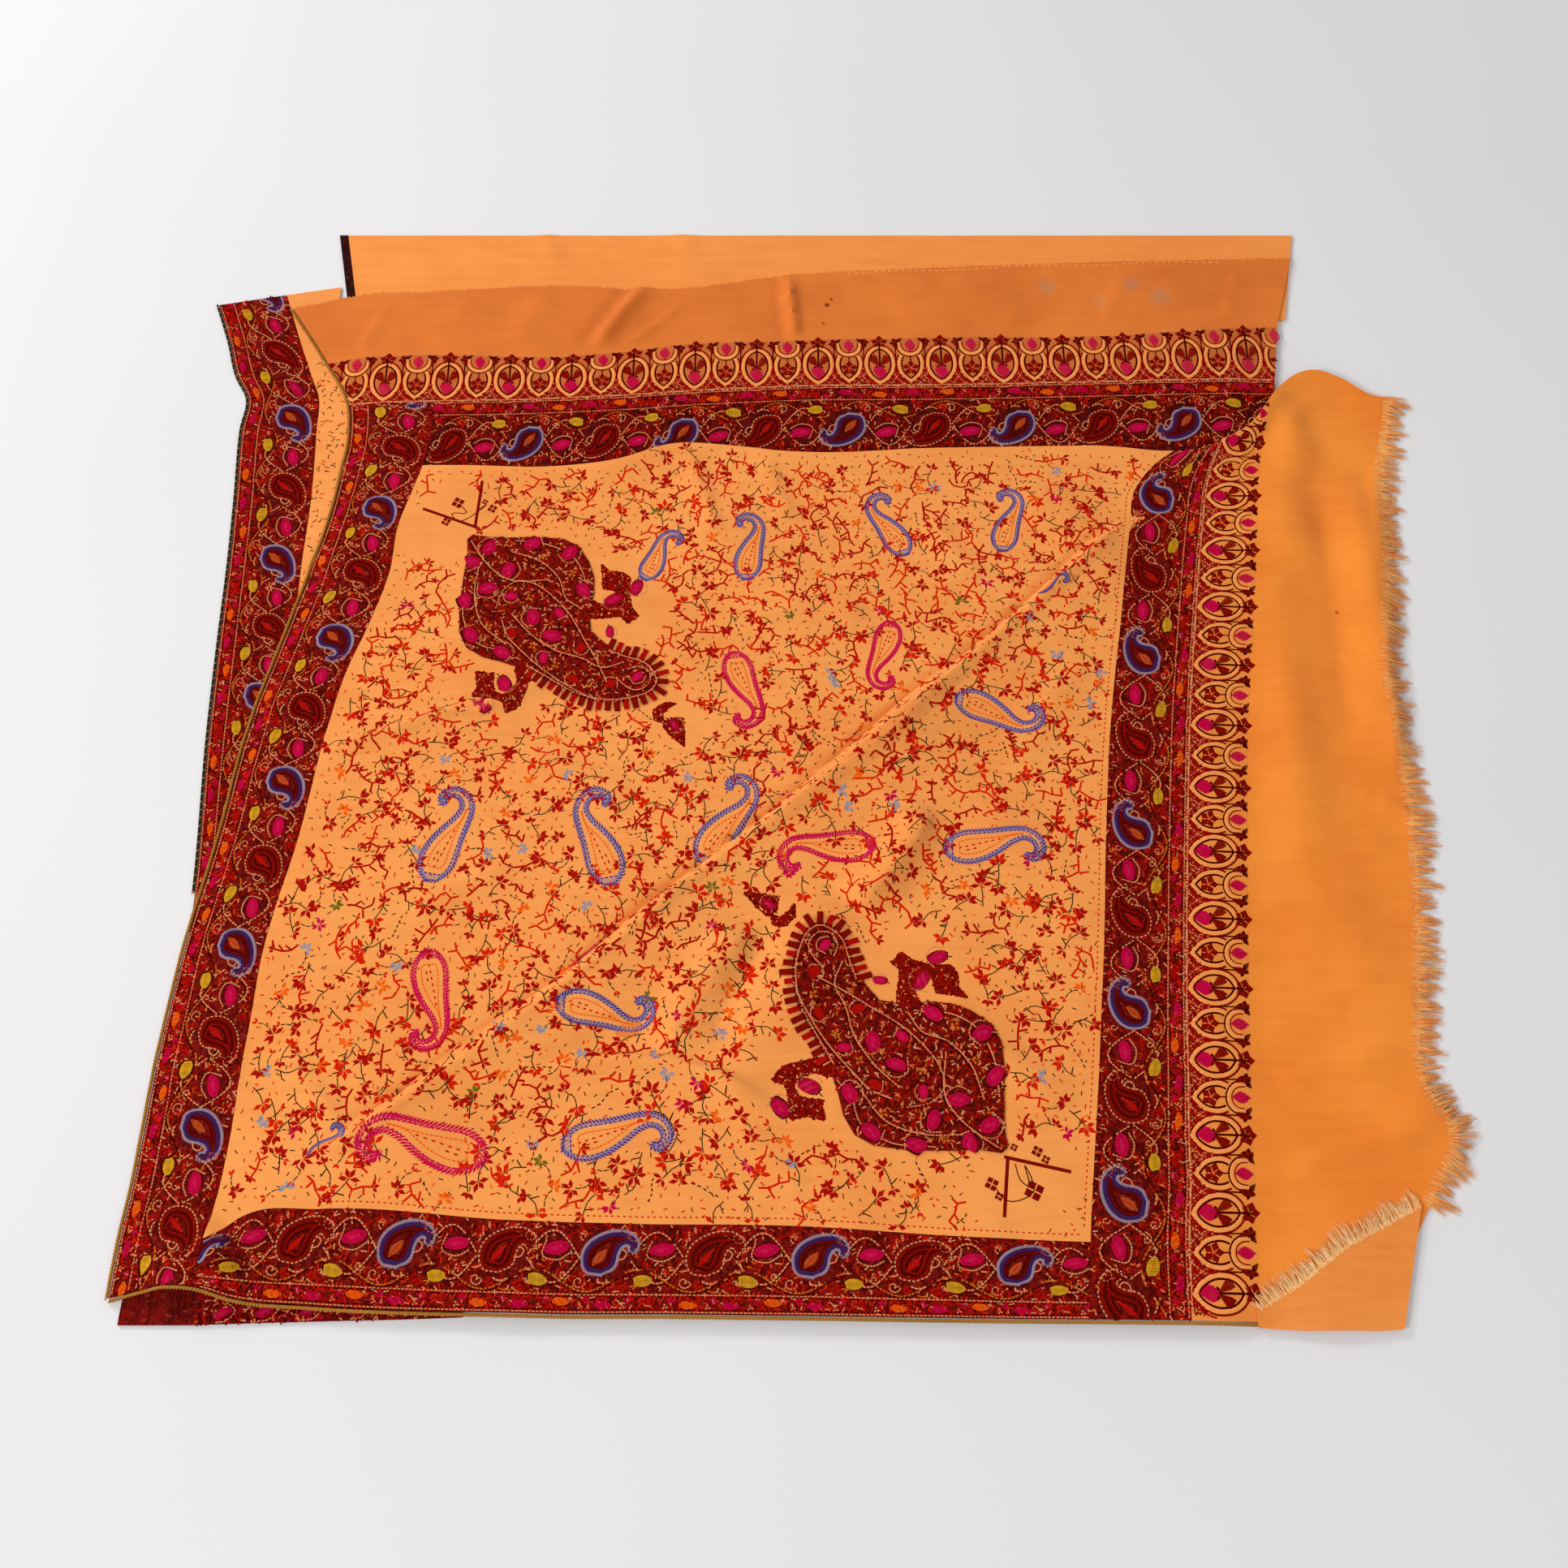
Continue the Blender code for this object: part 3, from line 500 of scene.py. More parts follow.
def wool(name, bright, deep, worn=0.35, streaks=0.25, stains=()):
    """Fine plain wool: crossed threads, slubs along the weft, blotches, a little nap and any stains."""
    cloth = Recipe(name, Sheen_Weight=0.08, Sheen_Roughness=0.5, Specular_IOR_Level=0.1)
    weave = cloth.threads("X", 1.1).highest(cloth.threads("Y", 1.1))
    blotch = cloth.ramp(cloth.noise(9.0, detail=4.0), 0.35, 0.68)
    slub = cloth.ramp(cloth.noise(160.0, (0.12, 1, 1), 2.0), 0.35, 0.75)
    fuzz = cloth.noise(900.0, detail=2.0)
    share = blotch * worn + slub * streaks + (1 - weave) * 0.16 + fuzz * 0.12
    colour = cloth.mix(share, linear(bright), linear(deep))
    wander = cloth.noise(140.0, detail=2.0) if stains else None
    flatten = {"operation": "MULTIPLY"}
    for row in stains:
        stain = dict(zip(STAIN, row, strict=True))
        radius = stain["radius"]
        middle = ((stain["x"] - MIDDLE[0]) * MM, (stain["y"] - MIDDLE[1]) * MM, 0.0)
        flat = cloth.node("ShaderNodeVectorMath", flatten, {0: cloth.place(), 1: (1, 1, 0)})
        away = cloth.node("ShaderNodeVectorMath", {"operation": "DISTANCE"}, {0: flat, 1: middle}, output=1)
        mark = cloth.ramp(away + wander * (radius * 0.9 * MM), radius * 1.5 * MM, radius * 0.7 * MM)
        colour = cloth.mix(mark * stain["strength"], colour, linear(stain["tint"]))
    height = weave * 0.6 + slub * 0.5 + fuzz * 0.5
    rough = 0.78 + fuzz * 0.14
    return cloth.shade(Base_Color=colour, Roughness=rough, Normal=cloth.bump(height, 0.35, 0.35))


def worked_ground(name, bright, deep, fleck):
    """The ground of a border, covered in tiny darning stitches."""
    cloth = Recipe(name, Specular_IOR_Level=0.02)
    rows = cloth.noise(420.0, (1, 0.35, 1), 2.0)
    cross = cloth.noise(520.0, (0.35, 1, 1), 2.0)
    patch = cloth.ramp(cloth.noise(60.0, detail=3.0), 0.35, 0.65)
    colour = cloth.mix(cloth.ramp(rows, 0.4, 0.62), linear(bright), linear(deep))
    colour = cloth.mix(cloth.ramp(cross, 0.6, 0.7) * 0.7, colour, linear(fleck))
    colour = cloth.mix(patch * 0.35, colour, linear(deep))
    rough = 0.7 + rows * 0.2
    return cloth.shade(Base_Color=colour, Roughness=rough, Normal=cloth.bump(rows + cross, 0.6, 0.5))


def table_top():
    """A pale matt table top."""
    top = Recipe("table_top", Roughness=0.6, Specular_IOR_Level=0.2)
    haze = top.ramp(top.noise(1.3, detail=2.0), 0.3, 0.7)
    return top.shade(Base_Color=top.mix(haze, linear((233, 231, 231)), linear((229, 227, 229))))


# The threads: their colours as they show, 0 to 255.
THREADS = {
    "maroon": (124, 13, 5),
    "dark": (72, 6, 4),
    "crimson": (166, 14, 8),
    "red": (206, 32, 8),
    "magenta": (192, 10, 62),
    "rose": (208, 34, 84),
    "russet": (182, 74, 30),
    "tan": (214, 134, 88),
    "peach": (248, 156, 84),
    "yellow": (202, 148, 30),
    "ochre": (188, 96, 26),
    "violet": (76, 52, 124),
    "navy": (58, 32, 84),
    "lavender": (152, 132, 148),
    "blue_grey": (150, 140, 150),
    "orange": (236, 92, 16),
    "green": (110, 96, 22),
    "black_green": (46, 30, 14),
    "gold": (178, 122, 44),
    "bottle": (26, 40, 26),
}


def thread_materials():
    """One finish for each thread: soft spun wool."""
    made = {}
    for name, colour in THREADS.items():
        spun = Recipe("thread_" + name, Base_Color=linear(colour), Roughness=1.0, Specular_IOR_Level=0.0)
        made[name] = spun.material
    return made


def stand(name, data, place=(0, 0, 0), turn=(0, 0, 0)):
    """Puts a mesh, a lamp or a camera in the scene."""
    holder = bpy.data.objects.new(name, data)
    holder.location = place
    holder.rotation_euler = turn
    bpy.context.scene.collection.objects.link(holder)
    return holder


def mesh_object(name, points, faces, materials, slots=None, sharp=55):
    """An object from points in millimetres and its faces."""
    placed = (np.asarray(points, float) - (*MIDDLE, 0)) * MM
    mesh = bpy.data.meshes.new(name)
    mesh.from_pydata(placed.tolist(), [], faces.tolist() if isinstance(faces, np.ndarray) else faces)
    for finish in materials:
        mesh.materials.append(finish)
    if slots is not None:
        mesh.polygons.foreach_set("material_index", np.asarray(slots, np.int32))
    mesh.shade_smooth()
    if sharp:
        mesh.set_sharp_from_angle(angle=math.radians(sharp))
    made = stand(name, mesh)
    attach(made, "root")
    return made


def grid_faces(rows, columns, start=0, flip=False):
    """The faces of a grid of points."""
    index = start + np.arange(rows * columns).reshape(rows, columns)
    corners = (index[:-1, :-1], index[:-1, 1:], index[1:, 1:], index[1:, :-1])
    faces = np.stack(corners, -1).reshape(-1, 4)
    return faces[:, ::-1] if flip else faces


def rim(rows, columns):
    """The points around the edge of a grid, in order."""
    index = np.arange(rows * columns).reshape(rows, columns)
    return np.concatenate([index[0, :-1], index[:-1, -1], index[-1, :0:-1], index[:0:-1, 0]])


def cloth_shell(name, x, y, top, finish, thick=CLOTH, floor=None, closed=True):
    """A thin wall of cloth under a surface, with its edges turned down. An open one has no underside."""
    rows, columns = x.shape
    high = np.stack([x, y, top], -1).reshape(-1, 3)
    low = high - (0, 0, thick)
    if floor is not None:
        low[:, 2] = np.maximum(low[:, 2], floor)
    edge = rim(rows, columns)
    after = np.roll(edge, -1)
    count = rows * columns
    if closed:
        side = np.stack([count + edge, count + after, after, edge], -1)
        points = np.concatenate([high, low])
        faces = np.concatenate([grid_faces(rows, columns), grid_faces(rows, columns, count, True), side])
    else:
        ring = count + np.arange(len(edge))
        side = np.stack([ring, np.roll(ring, -1), after, edge], -1)
        points = np.concatenate([high, low[edge]])
        faces = np.concatenate([grid_faces(rows, columns), side])
    return mesh_object(name, points, faces, [finish])


def cut_size(x, y):
    """The flat size and area of a panel, in metres."""
    wide = np.hypot(np.diff(x, axis=1), np.diff(y, axis=1)).sum(1).mean()
    long = np.hypot(np.diff(x, axis=0), np.diff(y, axis=0)).sum(0).mean()
    ax, ay = x[1:, 1:] - x[:-1, :-1], y[1:, 1:] - y[:-1, :-1]
    bx, by = x[1:, :-1] - x[:-1, 1:], y[1:, :-1] - y[:-1, 1:]
    area = np.abs(ax * by - ay * bx).sum() / 2
    return (wide * MM, long * MM), area * MM * MM


def steps(cells_mm, across, along):
    """The shares of a panel's grid, from its size and the size of a cell."""
    spans_x = len(across) - 1
    spans_y = len(along) - 1
    s, t = np.meshgrid(np.linspace(0, spans_x, 5), np.linspace(0, spans_y, 5))
    x, y = plan_points(across, along, s, t)
    (wide, long), _ = cut_size(x, y)
    columns = max(3, round(wide / MM / cells_mm / spans_x)) * spans_x
    rows = max(3, round(long / MM / cells_mm / spans_y)) * spans_y
    s, t = np.meshgrid(np.linspace(0, spans_x, columns + 1), np.linspace(0, spans_y, rows + 1))
    return plan_points(across, along, s, t)


# The panels of the upper sheet: their seams, the size of a cell, and the finish.
FROM_HEM = ("bottom_hem", "field_bottom", "top_edge")
LEFT_TO_RIGHT = ("left_hem", "field_left", "strip_right")
PANELS = {
    "field": (("field_left", "field_right"), ("field_bottom", "top_edge"), 2.4, "field"),
    "border_left": (("left_hem", "field_left"), (*FROM_HEM, "top_stripe"), 4.0, "border"),
    "border_bottom": (("field_left", "field_right"), ("bottom_hem", "field_bottom"), 4.0, "border"),
    "border_right": (("field_right", "arch_in"), FROM_HEM, 4.0, "border"),
    "arch_row_right": (("arch_in", "arch_out"), FROM_HEM, 4.0, "arch_row"),
    "plain_end_right": (("arch_out", "fringe"), FROM_HEM, 3.2, "plain_cloth"),
    "border_top": (("field_left", "strip_right"), ("strip_near", "top_stripe"), 4.2, "border"),
    "arch_row_top": (LEFT_TO_RIGHT, ("top_stripe", "arch_top"), 4.2, "arch_row"),
    "plain_end_top": (LEFT_TO_RIGHT, ("arch_top", "end_top"), 2.5, "plain_cloth"),
}
STRIP_PANELS = ("border_top", "arch_row_top", "plain_end_top")

# The marks of wear on the two plain ends, as rows of STAIN.
END_STAINS = ((478, 163, 2.0, (120, 40, 20), 0.9),)
STRIP_STAINS = (
    (41, 500, 3.2, (40, 18, 20), 0.95),
    (45, 507, 2.2, (52, 20, 22), 0.9),
    (37, 478, 2.0, (96, 36, 24), 0.8),
    (251, 523, 12.0, (176, 132, 100), 0.45),
    (332, 525, 10.0, (168, 128, 104), 0.4),
    (358, 511, 13.0, (176, 132, 100), 0.45),
    (300, 505, 9.0, (190, 140, 100), 0.3),
)
FINISHES = {
    "field": wool("field_wool", (250, 163, 84), (226, 124, 52), 0.3, 0.2),
    "border": worked_ground("border_ground", (126, 17, 11), (72, 8, 6), (166, 62, 42)),
    "arch_row": wool("arch_wool", (246, 150, 66), (218, 112, 40), 0.35, 0.25),
    "plain_cloth": wool("plain_wool", (252, 150, 54), (226, 110, 34), 0.45, 0.14, END_STAINS),
}
# The far strip's copies of the finishes are darker: painted shade over the whole strip. Its plain wool also
# carries the strip's real stains.
STRIP_FINISHES_PAINTED_SHADE = FINISHES | {
    "arch_row": wool("far_arch_wool_painted_shade", (208, 110, 48), (176, 78, 30), 0.35, 0.25),
    "border": worked_ground("far_border_ground_painted_shade", (100, 12, 9), (54, 6, 5), (126, 46, 34)),
    "plain_cloth": wool("strip_wool_stains_and_painted_shade", (234, 128, 48), (198, 94, 34), 0.45, 0.14, STRIP_STAINS),
}


def takes_over(piece, node):
    """Shows a piece in the place of a solid, with its finish."""
    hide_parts(node)
    return piece


def panel_of(node, slot, x, y, top, finish, **shell):
    """A panel's cloth in the place of its solid, with the points that it was cut by."""
    return takes_over(cloth_shell(node + "_cloth", x, y, top, finish, **shell), node), x, y


def upper_sheet():
    """The panels of the sheet on top. The field is left open below."""
    made = {}
    for name, (across, along, cell, slot) in PANELS.items():
        x, y = steps(cell, across, along)
        # The strip's panels take the darker copies of the finishes, which hold painted shade.
        side, finishes = (strip_side, STRIP_FINISHES_PAINTED_SHADE) if name in STRIP_PANELS else (upper_side, FINISHES)
        shell = {"floor": UPPER_FLOOR, "closed": name != "field"}
        made[name] = panel_of(name, slot, x, y, side(x, y), finishes[slot], **shell)
    return made


# The panels of the sheet below: their seams and the finish. They share the size of a cell.
LOWER_PANELS = {
    "lower_border": (("lower_hem", "lower_seam"), ("lower_near", "lower_middle", "lower_far"), "border"),
    "lower_field": (("lower_seam", "lower_in"), ("lower_middle", "lower_far"), "field"),
}
LOWER_CELL = 4.2
CORNER_SEAMS = seam_lines(CORNER_STRIP, CORNER_STRIP_SECTIONS)


def sheet_below():
    """The sheet below, where it shows at the left and under the lifted hem."""
    made = {}
    for name, (across, along, slot) in LOWER_PANELS.items():
        x, y = steps(LOWER_CELL, across, along)
        made[name] = panel_of(name, slot, x, y, lower_side(x, y), FINISHES[slot], **UNDER_SHELL)
    first, last = CORNER_STRIP_SECTIONS[0][0], CORNER_STRIP_SECTIONS[-1][0]
    s, t = np.meshgrid(np.linspace(0, 1, 49), np.linspace(0, 1, 8))
    x = first + SEAM_GAP + s * (last - first)
    y = CORNER_SEAMS["near"](x) * (1 - t) + CORNER_SEAMS["far"](x) * t
    ground = FINISHES["border"]
    made["lower_border_near"] = panel_of(
        "lower_border_near", "border", x, y, lower_side(x, y), ground, **UNDER_SHELL
    )
    return made


# The plain cloth past the far end: its y from and to, the x of its left and right edges at those, and the
# width of its bound edge.
UNDER_END = (484.0, 588.0)
UNDER_LEFT = (-411.0, -432.0)
UNDER_RIGHT = (474.0, 494.0)
UNDER_BAND = 8.0


def end_below():
    """The plain cloth past the far end, and its dark bound edge."""
    s, t = np.meshgrid(np.linspace(0, 1, 191), np.linspace(0, 1, 23))
    left = UNDER_LEFT[0] + t * (UNDER_LEFT[1] - UNDER_LEFT[0])
    right = UNDER_RIGHT[0] + t * (UNDER_RIGHT[1] - UNDER_RIGHT[0])
    x = left + UNDER_BAND + SEAM_GAP + s * (right - left - UNDER_BAND - SEAM_GAP)
    y = UNDER_END[0] + t * (UNDER_END[1] - UNDER_END[0])
    swell = 1.2 * np.exp(-(((x - 20 + 0.2 * y) / 14) ** 2))
    swell = swell + 1.0 * np.exp(-(((x + 214 + 0.3 * y - 160) / 9) ** 2))
    top = lower_side(x, y) + swell * ease((y - 540) / 24)
    plain = wool("under_wool", (250, 156, 74), (230, 124, 48), 0.35, 0.25)
    made = {"under_end": panel_of("under_end", "plain_cloth", x, y, top, plain, **UNDER_SHELL)}
    x = left[:, :5] + np.linspace(0, UNDER_BAND, 5)
    y = y[:, :5]
    top = lower_side(x, y) + 0.3
    dark = worked_ground("dark_binding", (58, 16, 16), (30, 14, 12), (120, 50, 40))
    made["under_end_binding"] = panel_of("under_end_binding", "dark_hem", x, y, top, dark, **UNDER_SHELL)
    return made


# The corner folded back over the plain end: its fringed side and its near side.
CORNER_FRINGE = ((338, -417), (372, -397), (408, -372), (442, -355), (469, -341))
CORNER_NEAR = ((338, -429), (370, -431), (400, -431), (424, -431), (442, -430))
CORNER_PUFF = 2.4


def corner_lines():
    """The two long sides of the folded corner, as functions of the share along them."""
    share = np.linspace(0, 1, len(CORNER_FRINGE))
    far = [smooth_line(share, column(("x", "y"), CORNER_FRINGE, n)) for n in ("x", "y")]
    near = [smooth_line(share, column(("x", "y"), CORNER_NEAR, n)) for n in ("x", "y")]
    return far, near


def corner_swell(x, y):
    """Where the folded corner stands a little off the cloth: most along its near side."""
    share = ease((x - 338) / 110)
    depth = ease((-332 - y) / 110)
    return np.sin(math.pi * np.clip(share, 0, 1)) * depth


def folded_corner():
    """The corner that is folded back."""
    far, near = corner_lines()
    s, t = np.meshgrid(np.linspace(0, 1, 41), np.linspace(0, 1, 26))
    x, y = (near[k](s) + t * (far[k](s) - near[k](s)) for k in (0, 1))
    finish = wool("corner_wool", (246, 152, 70), (222, 118, 46), 0.4, 0.3)
    return {"folded_corner": panel_of("folded_corner", "plain_cloth", x, y, corner_side(x, y), finish)}


class Work:
    """Stitches by thread. Each one runs straight from x, y to x, y, with a width, a rise and its form."""

    def __init__(self):
        self.rows = {}

    def add(self, thread, runs, width, rise=0.45, pointed=False):
        if len(runs):
            sizes = np.full((len(runs), 3), (width, rise, pointed), float)
            self.rows.setdefault(thread, []).append(np.hstack([np.asarray(runs, float), sizes]))

    def take(self, other, shift=(0, 0), turn=0.0, scale=1.0, mirror=1):
        """Adds a motif: scaled, mirrored, turned by degrees and moved."""
        c, s = math.cos(math.radians(turn)), math.sin(math.radians(turn))
        for thread, blocks in other.rows.items():
            for block in blocks:
                new = block.copy()
                for k in (0, 2):
                    p, q = block[:, k] * scale, block[:, k + 1] * scale * mirror
                    new[:, k] = shift[0] + p * c - q * s
                    new[:, k + 1] = shift[1] + p * s + q * c
                self.rows.setdefault(thread, []).append(new)

    def through(self, mapping):
        """The same stitches with their ends moved by a function of x and y."""
        made = Work()
        for thread, blocks in self.rows.items():
            for block in blocks:
                new = block.copy()
                new[:, 0], new[:, 1] = mapping(block[:, 0], block[:, 1])
                new[:, 2], new[:, 3] = mapping(block[:, 2], block[:, 3])
                made.rows.setdefault(thread, []).append(new)
        return made

    def clear(self, x, y, reach):
        """Leaves out the stitches in a round spot."""
        return self.keep(lambda a, b: (a - x) ** 2 + (b - y) ** 2 > reach**2)

    def keep(self, wanted):
        """Only the stitches whose middle a function of x and y keeps."""
        for thread, blocks in self.rows.items():
            self.rows[thread] = [
                b[wanted((b[:, 0] + b[:, 2]) / 2, (b[:, 1] + b[:, 3]) / 2)] for b in blocks
            ]
        return self


MATERIALS = thread_materials()


def sew(name, work, surface):
    """A piece from stitches: each is a bar or a pointed leaf that rises to its middle over the cloth."""
    points, faces, slots, finishes, start = [], [], [], [], 0
    for thread, blocks in work.rows.items():
        rows = np.concatenate(blocks)
        if not len(rows):
            continue
        x0, y0, x1, y1, width, rise, pointed = rows.T
        length = np.maximum(np.hypot(x1 - x0, y1 - y0), 0.01)
        nx, ny = -(y1 - y0) / length * width / 2, (x1 - x0) / length * width / 2
        mx, my = (x0 + x1) / 2, (y0 + y1) / 2
        leaf = [(x0, y0), (mx - nx, my - ny), (x1, y1), (mx + nx, my + ny)]
        bar = [(x0 - nx, y0 - ny), (x1 - nx, y1 - ny), (x1 + nx, y1 + ny), (x0 + nx, y0 + ny)]
        pairs = zip(leaf, bar, strict=True)
        corners = [(np.where(pointed, u, a), np.where(pointed, v, b)) for (u, v), (a, b) in pairs]
        corners.append((mx, my))
        lift = [-0.05, -0.02, -0.05, -0.02, rise]
        ring = [np.stack([x, y, surface(x, y) + z], -1) for (x, y), z in zip(corners, lift, strict=True)]
        points.append(np.stack(ring, 1).reshape(-1, 3))
        first = start + 5 * np.arange(len(rows))[:, None]
        shape = np.array([(0, 1, 4), (1, 2, 4), (2, 3, 4), (3, 0, 4)])
        faces.append((first[:, :, None] + shape[None]).reshape(-1, 3))
        slots.append(np.full(4 * len(rows), len(finishes)))
        finishes.append(MATERIALS[thread])
        start += 5 * len(rows)
    points, faces, slots = (np.concatenate(part) for part in (points, faces, slots))
    return mesh_object(name, points, faces, finishes, slots, 0)


def run_of(path):
    """How far each point of a line lies along it."""
    return np.append(0, np.cumsum(np.hypot(*np.diff(path, axis=0).T)))


def placed_on(place, run, values):
    """Two columns of values, read at places along a line."""
    return np.stack([np.interp(place, run, values[:, k]) for k in (0, 1)], -1)


def curve(points, count=40):
    """A smooth line through a few points."""
    points = np.asarray(points, float)
    run = run_of(points)
    place = np.linspace(0, run[-1], count)
    return np.stack([smooth_line(run, points[:, k])(place) for k in (0, 1)], -1)


def spaced(path, pace):
    """Points at an even pace along a line."""
    run = run_of(path)
    return placed_on(np.linspace(0, run[-1], max(2, round(run[-1] / pace) + 1)), run, path)


def ways_along(path):
    """The directions along a line."""
    way = np.gradient(path, axis=0)
    return way / np.maximum(np.hypot(*way.T), 1e-6)[:, None]


def ways_across(path):
    """The directions square to a line, to its left."""
    way = ways_along(path)
    return np.stack([-way[:, 1], way[:, 0]], -1)


def running(path, pace, gap=0.0):
    """Stitches end to end along a line, with a gap between them if one is given."""
    ends = spaced(np.asarray(path, float), pace)
    a, b = ends[:-1], ends[1:]
    return np.hstack([a + (b - a) * gap / 2, b - (b - a) * gap / 2 + (b - a) * 0.08 * (gap == 0)])


def satin(path, half, pace=1.3, lean=0.0):
    """Stitches side by side across a line."""
    ends = spaced(np.asarray(path, float), pace)
    off = ways_across(ends) + ways_along(ends) * lean
    reach = np.interp(np.linspace(0, 1, len(ends)), np.linspace(0, 1, np.size(half)), np.atleast_1d(half))
    return np.hstack([ends - off * reach[:, None], ends + off * reach[:, None]])


def outline(spine, half, inset=0.0, count=36):
    """The line around a shape given by its spine and half widths, drawn in by inset."""
    run = run_of(spine)
    line = curve(spine, count)
    width = np.maximum(smooth_line(run, half)(np.linspace(0, run[-1], count)) - inset, 0.25)
    off = ways_across(line) * width[:, None]
    keep = slice(int(min(inset, 6)), None)
    left, right = (line + off)[keep], (line - off)[keep][::-1]
    return np.concatenate([left, right, left[:1]])


def spiral(turns, size):
    """A small curl."""
    a = np.linspace(0, turns * 2 * math.pi, 24)
    r = size * (1 - a / a[-1] * 0.75)
    return np.stack([r * np.cos(a), r * np.sin(a)], -1)


# The paisleys: their spine from the round end to the curled tip, and half their width. Those of a border
# have p along the band and q from the field outwards.
PAISLEY = ("p", "q", "half")
BORDER_PAISLEY = (
    (-9, 14.5, 4.5),
    (-8.5, 10.5, 9.0),
    (-6.5, 5, 12.2),
    (-3.5, -1, 12.2),
    (1.5, -7, 9.4),
    (8, -11, 6.4),
    (14.5, -11.5, 4.6),
    (19, -7.5, 3.4),
    (18, -2, 2.2),
)
FIELD_PAISLEY = (
    (-42, -2, 4.0),
    (-36, -1, 10.0),
    (-26, 0, 14.0),
    (-12, 0, 13.5),
    (2, -2, 10.5),
    (16, -5, 7.0),
    (28, -5, 5.2),
    (37, 2, 4.4),
    (38, 12, 3.8),
    (31, 18, 3.0),
    (25, 15, 2.0),
)


# The small curl at a border paisley's tip.
PAISLEY_CURL = curve([(10, -4), (14, -2), (12, 3), (7, 4)], 12)


def shape_of(rows):
    """The spine and half widths of a paisley's table."""
    return np.array([row[:2] for row in rows], float), column(PAISLEY, rows, "half")


def blue_paisley():
    """The border's blue paisley: a pale ring, a navy one and a warm heart."""
    spine, half = shape_of(BORDER_PAISLEY)
    motif = Work()
    motif.add("dark", satin(outline(spine, half, 4.4), 3.6, 1.5, 0.2), 1.6, 0.3)
    motif.add("lavender", satin(outline(spine, half + 0.4), 1.15, 1.6, 0.5), 1.25, 0.6)
    motif.add("navy", satin(outline(spine, half, 2.6), 1.7, 1.2, 0.3), 1.3, 0.65)
    motif.add("maroon", satin(outline(spine, half, 5.4), 0.8, 1.5, 0.3), 1.3, 0.5)
    motif.add("russet", satin([(-10, 8), (-1, -3)], [1.2, 3.0, 3.0, 0.9], 1.3, 0.3), 1.2, 0.5)
    motif.add("crimson", satin([(-8, 5), (-3, -1)], [0.6, 1.4, 0.6], 1.4), 1.2, 0.56)
    motif.add("tan", running(PAISLEY_CURL, 2.4), 1.0, 0.5)
    return motif


def red_paisley():
    """The border's dark red paisley: a broken tan line round maroon rings and a red heart."""
    spine, half = shape_of(BORDER_PAISLEY)
    motif = Work()
    motif.add("dark", satin(outline(spine, half, 5.0), 4.0, 1.5, 0.2), 1.6, 0.3)
    motif.add("tan", running(outline(spine, half + 1.0), 3.4, 0.34), 1.2, 0.6)
    motif.add("maroon", satin(outline(spine, half, 1.6), 1.6, 1.3, 0.2), 1.3, 0.5)
    motif.add("dark", running(outline(spine, half, 3.6), 3.0), 1.1, 0.5)
    motif.add("maroon", satin(outline(spine, half, 5.2), 1.2, 1.5, 0.2), 1.3, 0.4)
    motif.add("crimson", running(outline(spine[:7], half[:7], 6.4), 2.6), 1.2, 0.5)
    motif.add("crimson", satin([(-10, 8), (-1, -3)], [1.0, 2.6, 2.4, 0.8], 1.2, 0.3), 1.2, 0.5)
    motif.add("red", running([(-9, 7), (1, -5)], 4.0), 1.0, 0.62)
    motif.add("tan", running(PAISLEY_CURL, 2.4), 1.0, 0.5)
    return motif


def bud(thread, long, wide):
    """A filled bud with a pale rim round one side and a dark foot."""
    motif = Work()
    swell = wide / 2 * np.array([0.5, 0.9, 1.0, 1.0, 0.85, 0.45])
    motif.add("dark", satin([(-long * 0.58, 0), (long * 0.58, 0)], swell + 1.0, 1.4, 0.2), 1.5, 0.2)
    motif.add(thread, satin([(-long / 2, 0), (long / 2, 0)], swell, 1.15, 0.3), 1.15, 0.5)
    heart = "rose" if thread == "magenta" else thread
    motif.add(heart, satin([(-long * 0.25, 0), (long * 0.3, 0)], swell * 0.4, 1.3, 0.3), 1.1, 0.62)
    rim_shares = np.array([(-0.5, -0.62), (0.1, -0.82), (0.68, -0.2), (0.3, 0.78)])
    rim_line = curve(rim_shares * (long, wide), 30)
    motif.add("ochre" if thread in ("yellow", "orange") else "tan", running(rim_line, 2.6, 0.12), 1.1, 0.5)
    motif.add("black_green", running([(-long * 0.5, 0), (-long * 0.85, 1.5)], 2.2), 1.0)
    return motif


def yellow_bud():
    """A round mustard bud with a deeper middle."""
    motif = Work()
    motif.add("dark", satin([(-7.4, 0), (7.4, 0)], [4.0, 6.0, 6.4, 5.6, 3.4], 1.3, 0.15), 1.4, 0.2)
    motif.add("yellow", satin([(-6.2, 0), (6.2, 0)], [3.4, 4.8, 5.0, 4.4, 2.4], 1.15, 0.15), 1.15, 0.55)
    motif.add("ochre", satin([(-2.2, 0), (2.8, 0)], [1.2, 2.0, 1.0], 1.2), 1.0, 0.66)
    motif.add("black_green", running([(-6, 0), (-10, 2)], 2.2), 1.0)
    return motif


def flower(thread, size, petals, width=None):
    """A small open flower: petals from its middle."""
    motif = Work()
    for k in range(petals):
        a = 2 * math.pi * k / petals + 0.3
        tip = (size * math.cos(a), size * math.sin(a))
        motif.add(thread, [(0.05 * tip[0], 0.05 * tip[1], *tip)], width or size * 0.66, 0.5, True)
    return motif


# The length of a border's repeat, the width of the whole border, and that of its paisleys.
REPEAT = 150.0
BAND = 66.0
PAISLEY_BAND = 50.0


def dashes(x, y, way, half):
    """Straight stitches from their middles, their directions and half their lengths."""
    across, along = half * np.cos(way), half * np.sin(way)
    return np.stack([x - across, y - along, x + across, y + along], -1)


